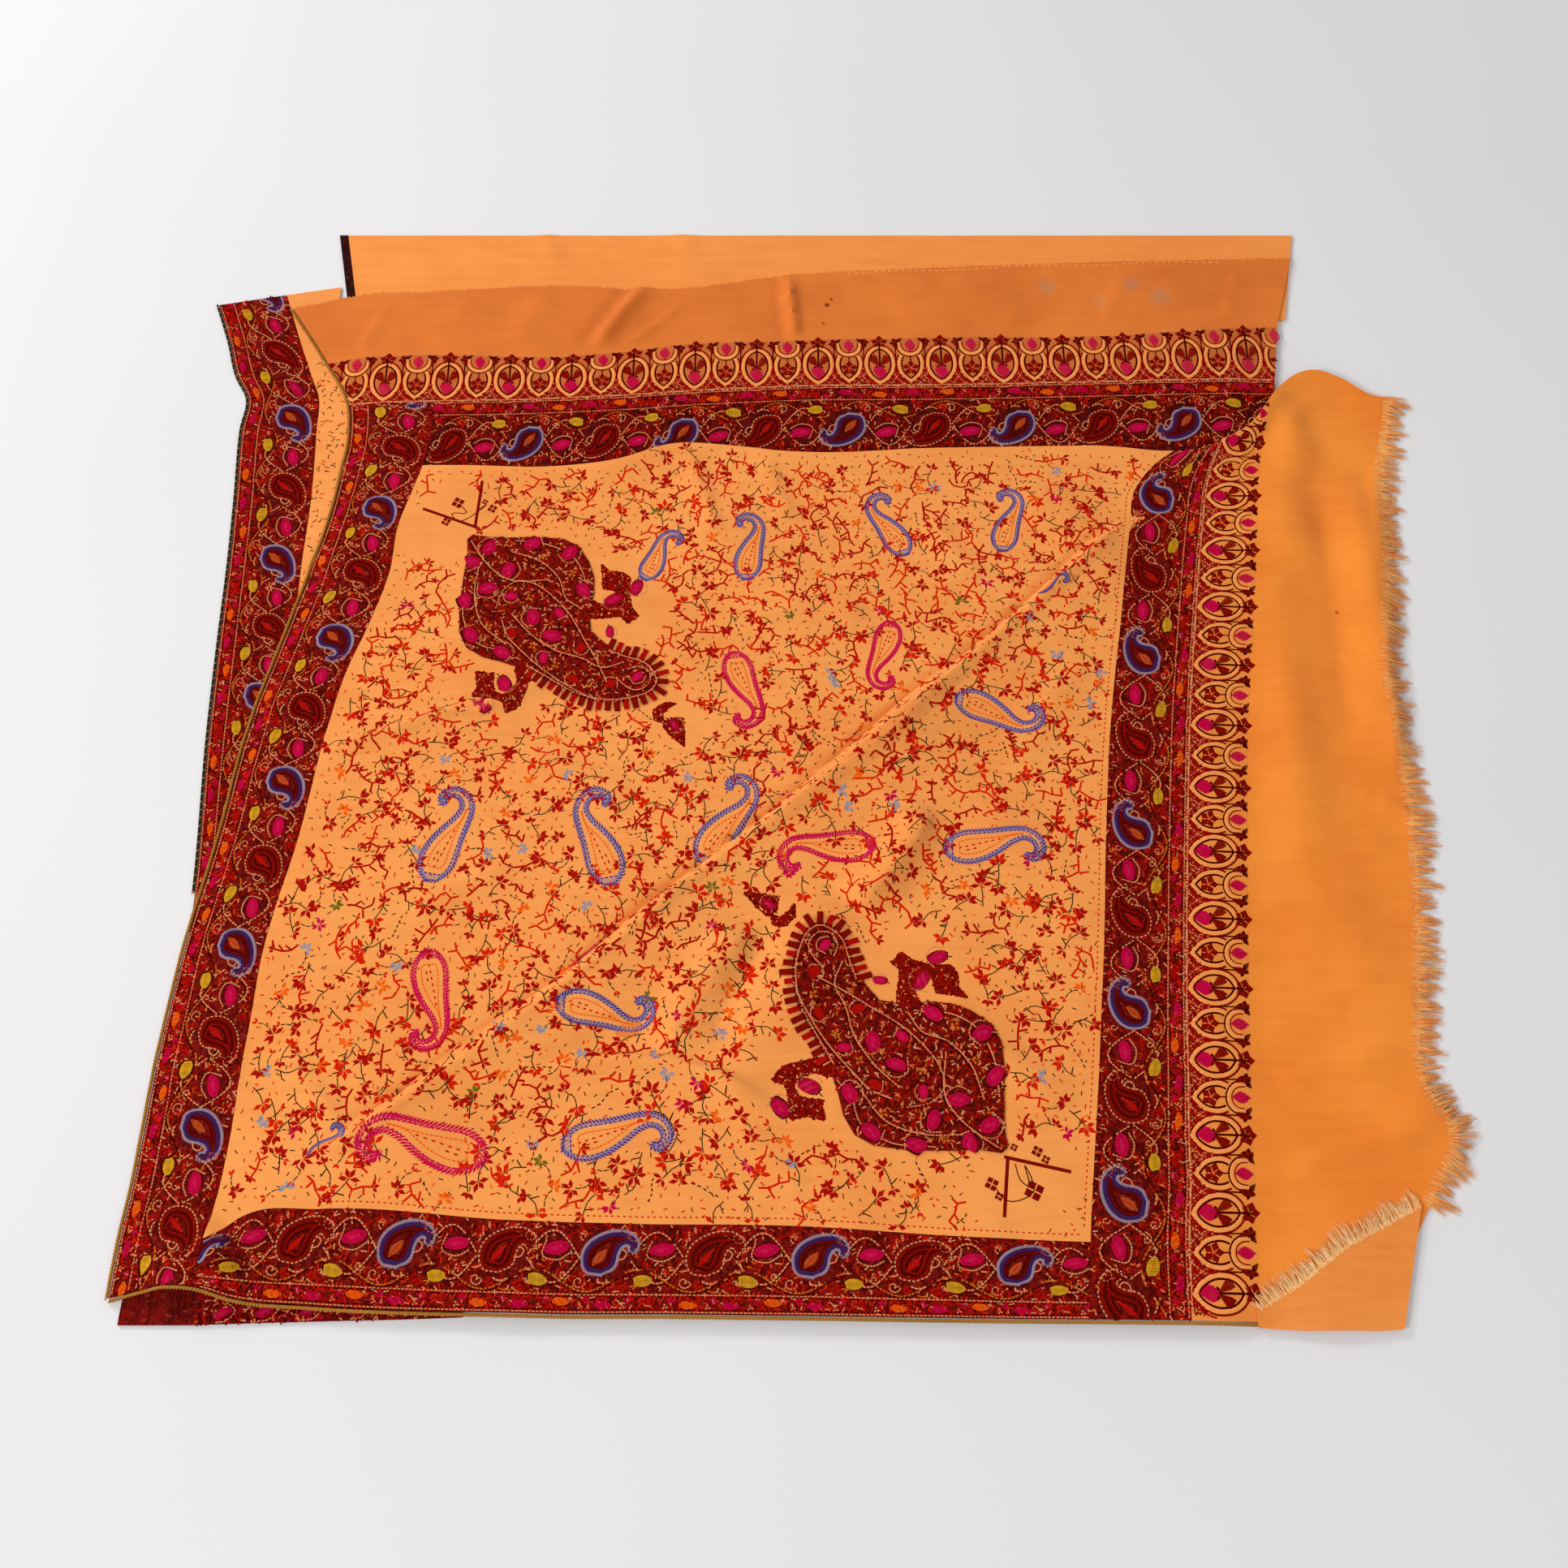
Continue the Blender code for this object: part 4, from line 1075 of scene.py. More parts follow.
def scatter(a_range, q_range, pitch, thread_shares, length, width, lean=0.9):
    """Small ground stitches over a stretch of band, turned this way and that."""
    count = int((a_range[1] - a_range[0]) * (q_range[1] - q_range[0]) / pitch)
    a = rng.uniform(*a_range, count)
    q = rng.uniform(*q_range, count)
    way = rng.normal(0, lean, count) + np.where(rng.random(count) < 0.5, 0, math.pi / 2)
    size = length * rng.uniform(0.7, 1.3, count) / 2
    runs = dashes(a, q, way, size)
    pick = rng.random(count)
    made, low = Work(), 0.0
    for thread, share in thread_shares:
        chosen = (pick >= low) & (pick < low + share)
        made.add(thread, runs[chosen], width, 0.3)
        low += share
    return made


# One repeat of a border: the shares of its ground threads, its vines by thread, swing, level and phase,
# its curls by place and size, the round spots under its motifs, and its small flowers.
BAND_GROUND = (
    ("maroon", 0.3), ("dark", 0.24), ("crimson", 0.2), ("tan", 0.09), ("red", 0.06), ("ochre", 0.05),
)
BAND_VINES = (("tan", 19, 25, 0.0), ("tan", 17, 27, math.pi), ("ochre", 8, 42, 1.1))
BAND_CURLS = (
    (20, 10, 5), (57, 43, 5), (96, 9, 5), (132, 43, 5), (46, 38, 4), (118, 38, 4), (60, 10, 4),
)
BAND_SPOTS = (
    (0, 24, 19), (REPEAT, 24, 19), (76, 24, 19), (40, 20, 10), (116, 20, 10), (27, 41, 7), (103, 41, 7),
)
BAND_FLOWERS = ((58, 7), (134, 7), (60, 45), (142, 45), (90, 46), (12, 46))


def border_repeat():
    """One repeat of the paisley band with its guard stripe, along p from 0 and outwards along q."""
    work = scatter((0, REPEAT), (0.5, PAISLEY_BAND + 1), 5.6, BAND_GROUND, 4.2, 1.15)
    wave = np.linspace(0, REPEAT, 90)
    for thread, swing, level, phase in BAND_VINES:
        line = np.stack([wave, level + swing * np.cos(4 * math.pi * wave / REPEAT + phase)], -1)
        work.add("dark", running(line + (0, 1.8), 3.0), 1.5, 0.4)
        work.add(thread, running(line, 3.1, 0.16), 1.3, 0.6)
    for p, q, size in BAND_CURLS:
        work.add("tan", running(spiral(1.2, size) + (p, q), 2.6, 0.15), 1.0, 0.6)
    # The motifs cover what lies under them.
    for p, q, reach in BAND_SPOTS:
        work.clear(p, q, reach)
    work.take(red_paisley(), (2, 23))
    work.take(blue_paisley(), (77, 23))
    work.take(bud("magenta", 17, 10.5), (40, 19), 160)
    work.take(bud("magenta", 17, 10.5), (116, 19), 165)
    work.take(yellow_bud(), (27, 42), 8)
    work.take(yellow_bud(), (103, 42), -6, 0.95)
    for p, q in BAND_FLOWERS:
        work.take(flower("crimson", 4.6, 4), (p, q))
    work.take(guard_stripe())
    return work


def guard_stripe():
    """The narrow stripe outside the paisleys: two edging lines and a row of bright patches."""
    low, high = PAISLEY_BAND + 2, BAND - 1.5
    middle = (low + high) / 2
    shares = (("crimson", 0.36), ("red", 0.2), ("maroon", 0.22), ("tan", 0.06), ("dark", 0.1))
    work = scatter((0, REPEAT), (low, high), 4.4, shares, 4.4, 1.2)
    for q, thread in ((low, "tan"), (low + 1.6, "dark"), (high - 1.6, "dark"), (high, "tan")):
        work.add(thread, running([(0, q), (REPEAT, q)], 3.0, 0.2), 1.0, 0.5)
    for k, thread in enumerate(("magenta", "orange", "magenta", "crimson", "orange")):
        p = (k + 0.5) * REPEAT / 5
        q = middle + (1.2, -1.2)[k % 2]
        work.add("dark", satin([(p - 7, q), (p + 7, q)], [2.0, 4.4, 4.4, 2.0], 1.5, 0.2), 1.4, 0.3)
        work.add(thread, satin([(p - 6, q), (p + 6, q)], [1.4, 3.4, 3.6, 3.0, 1.2], 1.2, 0.3), 1.2, 0.6)
        work.take(flower("black_green", 2.8, 3), (p + 11, middle - 2))
        work.take(flower("tan", 2.6, 3), (p + 14, middle + 2.5))
        work.take(flower("magenta", 3.4, 4), (p + 18, middle - 2.5))
    return work


def mirrored(half, cusp=False):
    """A line down one side and up the other, from points on one side that end on the middle."""
    if not cusp:
        return curve([(-p, q) for p, q in half] + [(p, q) for p, q in half[-2::-1]], 50)
    down = curve([(-p, q) for p, q in half], 26)
    return np.concatenate([down, (down * (-1, 1))[-2::-1]])


# One side of each arch's line, and of the cup above a small one, from its end down to the middle.
LARGE_ARCH = (
    (1.6, 40.5), (6.4, 37.6), (10.6, 32.5), (12.4, 26), (12.4, 18.5), (9.8, 12), (5.4, 6.6), (0, 3.0),
)
SMALL_ARCH = ((8.6, 31), (10.4, 26.5), (10.6, 20), (8.8, 13.5), (5, 8.6), (0, 5.0))
SMALL_CUP = ((10.6, 45), (10.2, 39.5), (6.6, 34.4), (0, 32.2))


def arch(large):
    """One arch: a peach band between dark lines, with what grows inside it and beyond it."""
    motif = Work()
    path = mirrored(LARGE_ARCH if large else SMALL_ARCH, True)
    off = ways_across(path)
    for side in (-2.5, 2.5):
        motif.add("dark" if side > 0 else "maroon", running(path + off * side, 3.0), 1.8, 0.4)
    motif.add("peach", satin(path, 1.6, 1.3, 0.3), 1.3, 0.6)
    low = path[:, 1] < 20
    motif.add("crimson", running((path - off * 4.6)[low], 3.0), 1.6, 0.4)
    motif.add("tan", running((path - off * 6.2)[low], 3.0, 0.2), 1.1, 0.4)
    if large:
        motif.add("magenta", satin([(0, 7), (0, 21)], [0.8, 4.6, 6.8, 5.6, 0.8], 1.2, 0.2), 1.25, 0.55)
        for side in (-1, 1):
            cup = [(side * 1.2, 21), (side * 7.6, 30)]
            motif.add("maroon", satin(cup, [0.8, 2.4, 4.0, 4.2], 1.2), 1.3, 0.55)
            motif.add("crimson", [(side * 2.4, 23.5, side * 7.6, 30.5)], 2.2, 0.7, True)
            motif.add("dark", [(side * 1.0, 21, side * 5.4, 18.5)], 2.6, 0.62, True)
        motif.add("dark", running([(0, 19), (0, 46)], 3.4), 1.9, 0.65)
        motif.take(flower("maroon", 8.8, 5, 7.2), (0, 45.5))
        motif.take(flower("dark", 3.4, 4), (0, 45.5))
    else:
        motif.take(flower("maroon", 8.6, 5, 6.4), (0, 18))
        motif.take(flower("crimson", 3.6, 4), (0, 18))
        motif.add("dark", running([(0, 20), (0, 31)], 3.0), 1.2)
        cup = mirrored(SMALL_CUP)
        off = ways_across(cup)
        motif.add("peach", satin(cup, 1.5, 1.3, 0.3), 1.35, 0.55)
        motif.add("dark", running(cup - off * 2.3, 3.0), 1.4, 0.4)
        motif.add("maroon", running(cup + off * 2.3, 3.0), 1.1, 0.4)
        motif.add("magenta", satin([(0, 35.5), (0, 49)], [0.8, 3.8, 5.2, 3.8, 0.6], 1.2, 0.2), 1.25, 0.6)
        for side in (-1, 1):
            leaf = [(side * 12.2, 38.5), (side * 15, 49.5)]
            motif.add("maroon", satin(leaf, [1.6, 3.4, 3.6, 1.2], 1.2), 1.3, 0.6)
            motif.take(flower("dark", 5.4, 4, 4.0), (side * 14.3, 45.5))
            stalk = [(side * 8.0, 49.8), (side * 13, 45.5)]
            motif.add("dark", satin(stalk, [0.8, 2.6, 1.0], 1.2), 1.3, 0.65)
            motif.add("dark", running([(side * 13.4, 22), (side * 13.8, 40)], 3.0), 1.3)
    return motif


# How far apart the arches stand, and how deep their row is.
ARCH_PITCH = 28.6
ARCH_DEPTH = 50.0


def arch_repeat():
    """A large and a small arch side by side, with the red ground between their feet."""
    shares = (("maroon", 0.46), ("crimson", 0.3), ("dark", 0.1), ("tan", 0.08))
    work = scatter((0, 2 * ARCH_PITCH), (0.4, 22), 2.4, shares, 3.6, 1.5)
    for p, reach, foot in ((0.5 * ARCH_PITCH, 14.2, 1.5), (1.5 * ARCH_PITCH, 12.4, 3.5)):
        work.keep(lambda a, b, p=p, r=reach, f=foot: np.abs(a - p) > r * np.clip((b - f) / 13, 0, 1) ** 0.75)
    work.add("tan", running([(0, 1), (2 * ARCH_PITCH, 1)], 2.8), 1.5, 0.5)
    work.take(arch(True), (0.5 * ARCH_PITCH, 0))
    work.take(arch(False), (1.5 * ARCH_PITCH, 0))
    return work


# Where the blue paisley of each repeat lies along its band, in the order of the repeats.
BLUE_PLACES = {
    "border_left": (396, 264, 132, -4, -146, -290, -434),
    "border_bottom": (-424, -276, -128, 25, 172, 320),
    "border_right": (-487, -337, -192, -42, 120, 282, 432),
    "border_top": (514, 362, 210, 55, -97, -236, -375),
    "lower_border": (516, 366, 213, 77, -73, -223, -373, -523),
}


def along_band(name, repeat=REPEAT, first=77.0):
    """How a place along the repeats turns into a place along the throw."""
    places = np.array(BLUE_PLACES[name], float)
    marks = first + repeat * np.arange(len(places))
    slopes = (places[1] - places[0]) / repeat, (places[-1] - places[-2]) / repeat

    def at(p):
        within = np.interp(p, marks, places)
        before = places[0] + (p - marks[0]) * slopes[0]
        after = places[-1] + (p - marks[-1]) * slopes[1]
        return np.where(p < marks[0], before, np.where(p > marks[-1], after, within))

    return at


def side_by_side(repeat, pitch, counts, mapping, wanted):
    """A whole band: its repeats side by side, laid on the throw and cut to its panel."""
    strip = Work()
    for k in counts:
        strip.take(repeat, (k * pitch, 0))
    return strip.through(mapping).keep(wanted)


def clear_of(left, right, near, far, margin):
    """A test of places: between two seams that run away and two lines that run across, clear of all four."""

    def wanted(x, y):
        free = (x > UP[left](y) + margin) & (x < UP[right](y) - margin)
        return free & (y > near(x) + margin) & (y < far(x) - margin)

    return wanted


# How far a border's stitches keep from its seams.
SEAM_MARGIN = 0.8


def up_band(name, inner, outer, low, high):
    """A paisley band that runs away from the viewer, between two seams."""
    along = along_band(name)
    left, right = sorted((inner, outer), key=lambda n: float(UP[n](0.0)))

    def mapping(p, q):
        y = along(p)
        share = q / BAND
        return UP[inner](y) + share * (UP[outer](y) - UP[inner](y)), y

    counts = range(-1, len(BLUE_PLACES[name]) + 1)
    wanted = clear_of(left, right, low, high, SEAM_MARGIN)
    return side_by_side(border_repeat(), REPEAT, counts, mapping, wanted)


def over_band(name, inner, outer, left, right, near, far):
    """A paisley band that runs from left to right, between two functions of x."""
    along = along_band(name)

    def mapping(p, q):
        x = along(p)
        return x, inner(x) + q / BAND * (outer(x) - inner(x))

    counts = range(-1, len(BLUE_PLACES[name]) + 1)
    wanted = clear_of(left, right, near, far, SEAM_MARGIN)
    return side_by_side(border_repeat(), REPEAT, counts, mapping, wanted)


# How deep the far border is drawn, and how far it and the lower one run on under what covers them.
TOP_BAND = 73
TOP_TUCKED = 1.5
LOWER_TUCKED = 3


def borders():
    """The paisley bands of both sheets, in the order in which they are sewn."""
    hem, field, edge, stripe = (OVER[n] for n in ("bottom_hem", "field_bottom", "top_edge", "top_stripe"))

    def inner(x):
        return stripe(x) - TOP_BAND

    def near(x):
        return edge(x) - TOP_TUCKED

    sides = ("field_left", "field_right"), ("field_left", "strip_right")
    lower = OVER["lower_near"], OVER["lower_far"]
    work = {
        "border_left": up_band("border_left", "field_left", "left_hem", hem, stripe),
        "border_right": up_band("border_right", "field_right", "arch_in", hem, edge),
        "border_bottom": over_band("border_bottom", field, hem, *sides[0], hem, field),
        "border_top": over_band("border_top", inner, stripe, *sides[1], near, stripe),
        "lower_border": up_band("lower_border", "lower_seam", "lower_hem", *lower),
    }
    work["lower_border"].keep(lambda x, y: x < UP["left_hem"](y) + LOWER_TUCKED)
    cloth = {"border_top": strip_side, "lower_border": lower_side}
    return {name: sew(name + "_stitches", done, cloth.get(name, upper_side)) for name, done in work.items()}


# The shares of the threads on the sheet below: of its near border's ground, and of its field's dashes.
NEAR_GROUND = (
    ("maroon", 0.3), ("dark", 0.28), ("crimson", 0.2), ("tan", 0.1), ("magenta", 0.07), ("ochre", 0.05),
)
LOWER_DASHES = (("black_green", 0.6), ("red", 0.3), ("crimson", 0.1))


def below_stitches():
    """The work on the sheet below: its border under the lifted corner, and dashes on its strip of field."""
    near, far = CORNER_SEAMS["near"], CORNER_SEAMS["far"]
    border = scatter((-420, -240), (-427, -392), 4.2, NEAR_GROUND, 4.4, 1.3)
    for x in (-402, -372, -340, -306):
        border.take(bud("magenta", 13, 8), (x, near(x) + 8), 20)
    border.keep(lambda x, y: (y > near(x) + 1) & (y < far(x) - 1))
    field = scatter((-434, -352), (114, 500), 44.0, LOWER_DASHES, 4.6, 1.0)
    field.keep(lambda x, y: (x > UP["lower_seam"](y) + 2) & (x < UP["lower_in"](y) - 1))
    field.keep(lambda x, y: y < OVER["lower_far"](x) - 3)
    work = {"lower_border_near": border, "lower_field": field}
    return {name: sew(name + "_stitches", done, lower_side) for name, done in work.items()}


def arch_rows():
    """The two rows of arches."""
    repeat = arch_repeat()
    inner, outer, near, far = UP["arch_in"], UP["arch_out"], OVER["top_stripe"], OVER["arch_top"]

    def up_map(p, q):
        y = -420 + p
        return inner(y) + q / ARCH_DEPTH * (outer(y) - inner(y)), y

    def over_map(p, q):
        x = -440 + p
        return x, near(x) + q / ARCH_DEPTH * (far(x) - near(x))

    def on_right(x, y):
        return (y > OVER["bottom_hem"](x) + 1) & (y < OVER["top_edge"](x) - 1)

    def on_strip(x, y):
        return (x > UP["left_hem"](y) + 1) & (x < UP["strip_right"](y) - 1)

    right = side_by_side(repeat, 2 * ARCH_PITCH, range(15), up_map, on_right)
    top = side_by_side(repeat, 2 * ARCH_PITCH, range(16), over_map, on_strip)
    return {
        "arch_row_right": sew("arch_row_right_stitches", right, upper_side),
        "arch_row_top": sew("arch_row_top_stitches", top, strip_side),
    }


# The paisleys scattered on the field: where each lies, which way its tip points in degrees, its size,
# the side that its tip curls to, and its thread.
SCATTERED = ("x", "y", "turn", "size", "curl", "thread")
SCATTERED_REACH = (33, 15)
SCATTERED_PAISLEYS = (
    (-110, 219, 66, 0.66, -1, "violet"),
    (-29, 226, 82, 0.80, 1, "violet"),
    (91, 249, 118, 0.80, -1, "violet"),
    (199, 254, 74, 0.76, 1, "violet"),
    (179, 62, -22, 0.88, 1, "violet"),
    (169, -56, 8, 0.94, -1, "violet"),
    (-271, -49, 72, 0.98, 1, "violet"),
    (-151, -51, 110, 1.0, -1, "violet"),
    (-45, -36, 58, 0.98, 1, "violet"),
    (-138, -197, -12, 0.88, 1, "violet"),
    (-125, -291, 14, 0.96, -1, "violet"),
    (-33, 86, -72, 0.86, -1, "magenta"),
    (84, 119, -106, 0.78, 1, "magenta"),
    (34, -60, 184, 0.92, 1, "magenta"),
    (-272, -186, -80, 0.94, -1, "magenta"),
    (-268, -297, 166, 1.14, 1, "magenta"),
    (-340, -299, 44, 0.4, 1, "violet"),
    (230, 187, 34, 0.4, -1, "violet"),
)


# The long tuck: its line over the field, its slant, and the rise and width of its rolled lip.
TUCK = (
    (-350, -308), (-325, -290), (-251, -224), (-178, -170), (-123, -122), (-69, -76), (-24, -40),
    (36, 3), (87, 44), (137, 96), (203, 162), (258, 213), (312, 266),
)
TUCK_LINE = curve(TUCK, 160)
TUCK_SLANT = 0.77
LIP_RISE = 1.9
LIP_WIDTH = 16.0


def past_tuck(x, y):
    """How far a point lies to the lower right of the long tuck."""
    return np.interp(x, TUCK_LINE[:, 0], TUCK_LINE[:, 1]) - y


def lip_height(x, y):
    """How far the tuck's rolled lip stands over the field."""
    off = past_tuck(x, y) * TUCK_SLANT
    ends = ease((x + 350) / 70) * ease((312 - x) / 70)
    return np.where(off > 0, LIP_RISE * ends * ease(1 - off / LIP_WIDTH), 0.0)


def field_side(x, y):
    """The upper side of the field, with the lip of its tuck."""
    return upper_side(x, y) + lip_height(x, y)


def tuck_lip():
    """The rolled lip of the long tuck, a thin strip of the field's own wool."""
    off = ways_across(TUCK_LINE)
    aside = np.array([0.0, 0.8, 2.0, 4.5, 8.0, 11.5, 15.0])
    x = TUCK_LINE[:, :1] - off[:, :1] * aside
    y = TUCK_LINE[:, 1:] - off[:, 1:] * aside
    round_over = np.array([-0.4, 0.0, 0.02, 0.02, 0.02, 0.0, -0.25])
    top = upper_side(x, y) + lip_height(x, y - 0.01) + round_over
    return cloth_shell("field_tuck_lip", x, y, top, FINISHES["field"], LIP_RISE + 0.2, closed=False)


def strip_edge_stitches():
    """The pale tacking stitches along the far edge of the strip behind."""
    x = np.linspace(60, 420, 120)
    line = np.stack([x, OVER["end_top"](x) - 2.5 - 1.2 * np.sin(x / 21)], -1)
    work = Work()
    work.add("peach", running(line, 6.4, 0.45), 1.2, 0.5)
    return sew("strip_edge_stitches", work, strip_side)


def scattered_paisley(thread):
    """A light paisley: spiky stitches in two colours around it and a few warm lines inside."""
    spine, half = shape_of(FIELD_PAISLEY)
    motif = Work()
    light = "lavender" if thread == "violet" else "rose"
    motif.add(light, satin(outline(spine, half, 1.2), 2.5, 2.9, 1.0), 1.3, 0.4)
    motif.add(thread, satin(outline(spine, half), 2.5, 2.8, 1.0), 2.2, 0.5, True)
    motif.add(thread, running(outline(spine, half, 2.6), 3.8, 0.18), 1.3, 0.5)
    motif.add("orange", running(outline(spine[:7], half[:7], 7.6), 3.2, 0.2), 1.1)
    motif.add("red", running([(-32, 0), (8, -3)], 6.0, 0.2), 1.8, 0.45, True)
    motif.add("crimson", running([(-26, 3), (-14, 2)], 6.0, 0.2), 1.6, 0.45, True)
    return motif


# The dense paisleys in the field's corners: how far each section reaches on the side of its hook and
# on the side of its crest. Each base has its place, the way the motif points, and its crest's side.
CORNER = ("along", "hook_side", "crest_side")
CORNER_SECTIONS = (
    (2, 3, 3),
    (14, 11, 14),
    (27, 22, 31),
    (40, 34, 47),
    (50, 43, 58),
    (66, 54, 73),
    (81, 57, 79),
    (98, 52, 76),
    (112, 44, 69),
    (124, 32, 64),
    (134, 16, 59),
    (149, 3, 57),
    (166, 3, 54),
    (184, 6, 50),
    (203, 15, 40),
    (212, 15, 33),
    (218, 13, 26),
    (223, 9, 19),
    (228, 3, 9),
)


CORNER_PAISLEYS = {
    "corner_paisley_far": (-278, 238, -42, -1),
    "corner_paisley_near": (165, -305, 129, 1),
}
CORNER_RISE = 0.9


def corner_reach(along):
    """How far a corner paisley reaches on its two sides."""
    stations = column(CORNER, CORNER_SECTIONS, "along")
    hook = np.interp(along, stations, column(CORNER, CORNER_SECTIONS, "hook_side"), left=0, right=0)
    crest = np.interp(along, stations, column(CORNER, CORNER_SECTIONS, "crest_side"), left=0, right=0)
    return hook, crest


def raised_side(x, y):
    """The upper side of a corner paisley's patch."""
    return upper_side(x, y) + CORNER_RISE


def corner_patches():
    """The raised grounds of the two corner paisleys."""
    made = {}
    stations = column(CORNER, CORNER_SECTIONS, "along")
    along = np.unique(np.concatenate([stations, np.arange(stations[0], stations[-1], 3.5)]))
    hook, crest = corner_reach(along)
    share = np.linspace(0, 1, 36)
    for name, (base_x, base_y, heading, side) in CORNER_PAISLEYS.items():
        first, last = (crest, -hook) if side > 0 else (hook, -crest)
        aside = first[:, None] + share * (last - first)[:, None]
        way = math.radians(heading)
        x = base_x + along[:, None] * math.cos(way) - aside * math.sin(way)
        y = base_y + along[:, None] * math.sin(way) + aside * math.cos(way)
        top, thick = raised_side(x, y), CORNER_RISE - 0.1
        patch = cloth_shell(name + "_ground", x, y, top, FINISHES["border"], thick)
        made[name] = (takes_over(patch, name), x, y)
    return made


def inside(x, y, corners):
    """Whether points lie inside a closed line."""
    found = np.zeros(np.shape(x), bool)
    for (x0, y0), (x1, y1) in zip(corners, corners[1:] + corners[:1], strict=True):
        crosses = (y0 > y) != (y1 > y)
        rise = y1 - y0 if y1 != y0 else 1.0
        found ^= crosses & (x < (x1 - x0) * (y - y0) / rise + x0)
    return found


def filled(corners, shares, pitch=3.6, length=3.6, width=1.5):
    """A shape filled with small stitches of a few threads, with a dark line around it."""
    spots = np.array(corners)
    low, high = spots.min(0), spots.max(0)
    work = scatter((low[0], high[0]), (low[1], high[1]), pitch, shares, length, width)
    work.keep(lambda x, y: inside(x, y, corners))
    work.add("maroon", running(np.array([*corners, corners[0]]), 3.0), 1.3, 0.5)
    return work


# Within a corner paisley, along p from its base and with q towards its crest: where its buds lie, the small
# ones last, its blossoms, how clear the ground is round a bud, its tan veins, and the line that its crest
# stands on.
CORNER_BUDS = (
    (115, -28), (79, -47), (127, 22), (102, 20), (48, -32), (107, 62), (52, 1), (52, 26), (75, 68),
    (23, -4), (22, 17), (46, 48), (209, 2), (170, 40), (137, 42), (197, 22), (116, 2), (154, 14),
    (73, 18), (100, 43),
)
CORNER_BLOSSOMS = ((80, 52), (122, 40), (150, 40), (184, 34), (66, -30), (96, -34), (36, 28), (86, 8))
BUD_REACH = math.sqrt(58)
SMALL_BUDS_FROM = 12
CORNER_VEINS = (
    ((196, 24), (173, 14), (147, 5), (123, -3), (99, -6), (81, -5), (66, 3), (64, 21), (72, 36)),
    ((208, 38), (184, 45), (149, 50), (121, 50), (97, 47), (84, 40)),
    ((86, -16), (58, 8), (44, 10), (23, 7), (6, 2)),
    ((191, -1), (180, 16), (163, 20), (140, 30), (112, 33), (86, 30)),
    ((196, 14), (204, 15), (217, 12), (221, 2), (214, -8), (203, -6), (198, 2)),
    ((128, -14), (110, -12), (92, -22), (66, -24), (40, -14)),
    ((34, -24), (58, -40), (84, -46), (106, -38), (122, -22)),
    ((36, 38), (60, 62), (84, 70), (108, 60)),
    ((30, 16), (48, 38), (74, 54), (104, 54)),
)
CORNER_CREST = (
    (132, 60), (149, 57), (166, 54), (184, 50), (203, 40), (214, 31), (223, 19), (229, 7), (228, -6),
    (219, -13), (203, -15), (188, -9), (172, -3),
)
# The crest's spikes in turn: thread, length and width.
CORNER_SPIKES = (
    ("maroon", 8.2, 4.8),
    ("tan", 5.0, 1.1),
    ("crimson", 7.4, 4.4),
    ("tan", 4.4, 1.1),
    ("maroon", 8.6, 5.0),
    ("tan", 5.2, 1.1),
)
CORNER_HOOKS = (
    (
        (124, -8), (134, -8), (143, -16), (151, -25), (158, -32), (166, -30), (168, -42), (158, -44),
        (148, -51), (141, -58), (136, -65), (127, -64), (118, -57), (107, -58), (118, -49), (126, -41),
        (135, -46), (146, -46), (145, -37), (140, -30), (132, -27), (122, -24),
    ),
    (
        (122, 58), (132, 53), (142, 61), (149, 74), (155, 88), (152, 101), (143, 95), (133, 100),
        (120, 109), (115, 98), (103, 89), (113, 84), (116, 80), (122, 87), (130, 93), (139, 91),
        (141, 83), (136, 71), (128, 67),
    ),
)
HOOK_BUDS = (
    (141, -39, 100, 1.0),
    (147, -61, 60, 0.9),
    (161, -14, 40, 0.6),
    (131, 82, 20, 1.0),
    (132, 109, 350, 1.0),
)
TIP_LEAF = ((284, 23), (275, 14), (264, 4), (256, 13), (257, 21), (268, 23), (277, 23))
TIP_HOOK = ((251, -2), (243, 4), (241, 16), (248, 22), (257, 18), (249, 14), (249, 6))
CORNER_SHARES = (
    ("maroon", 0.34), ("dark", 0.2), ("crimson", 0.22), ("tan", 0.1), ("black_green", 0.04), ("ochre", 0.07),
)
HOOK_SHARES = (("maroon", 0.66), ("crimson", 0.16), ("dark", 0.16), ("tan", 0.02))


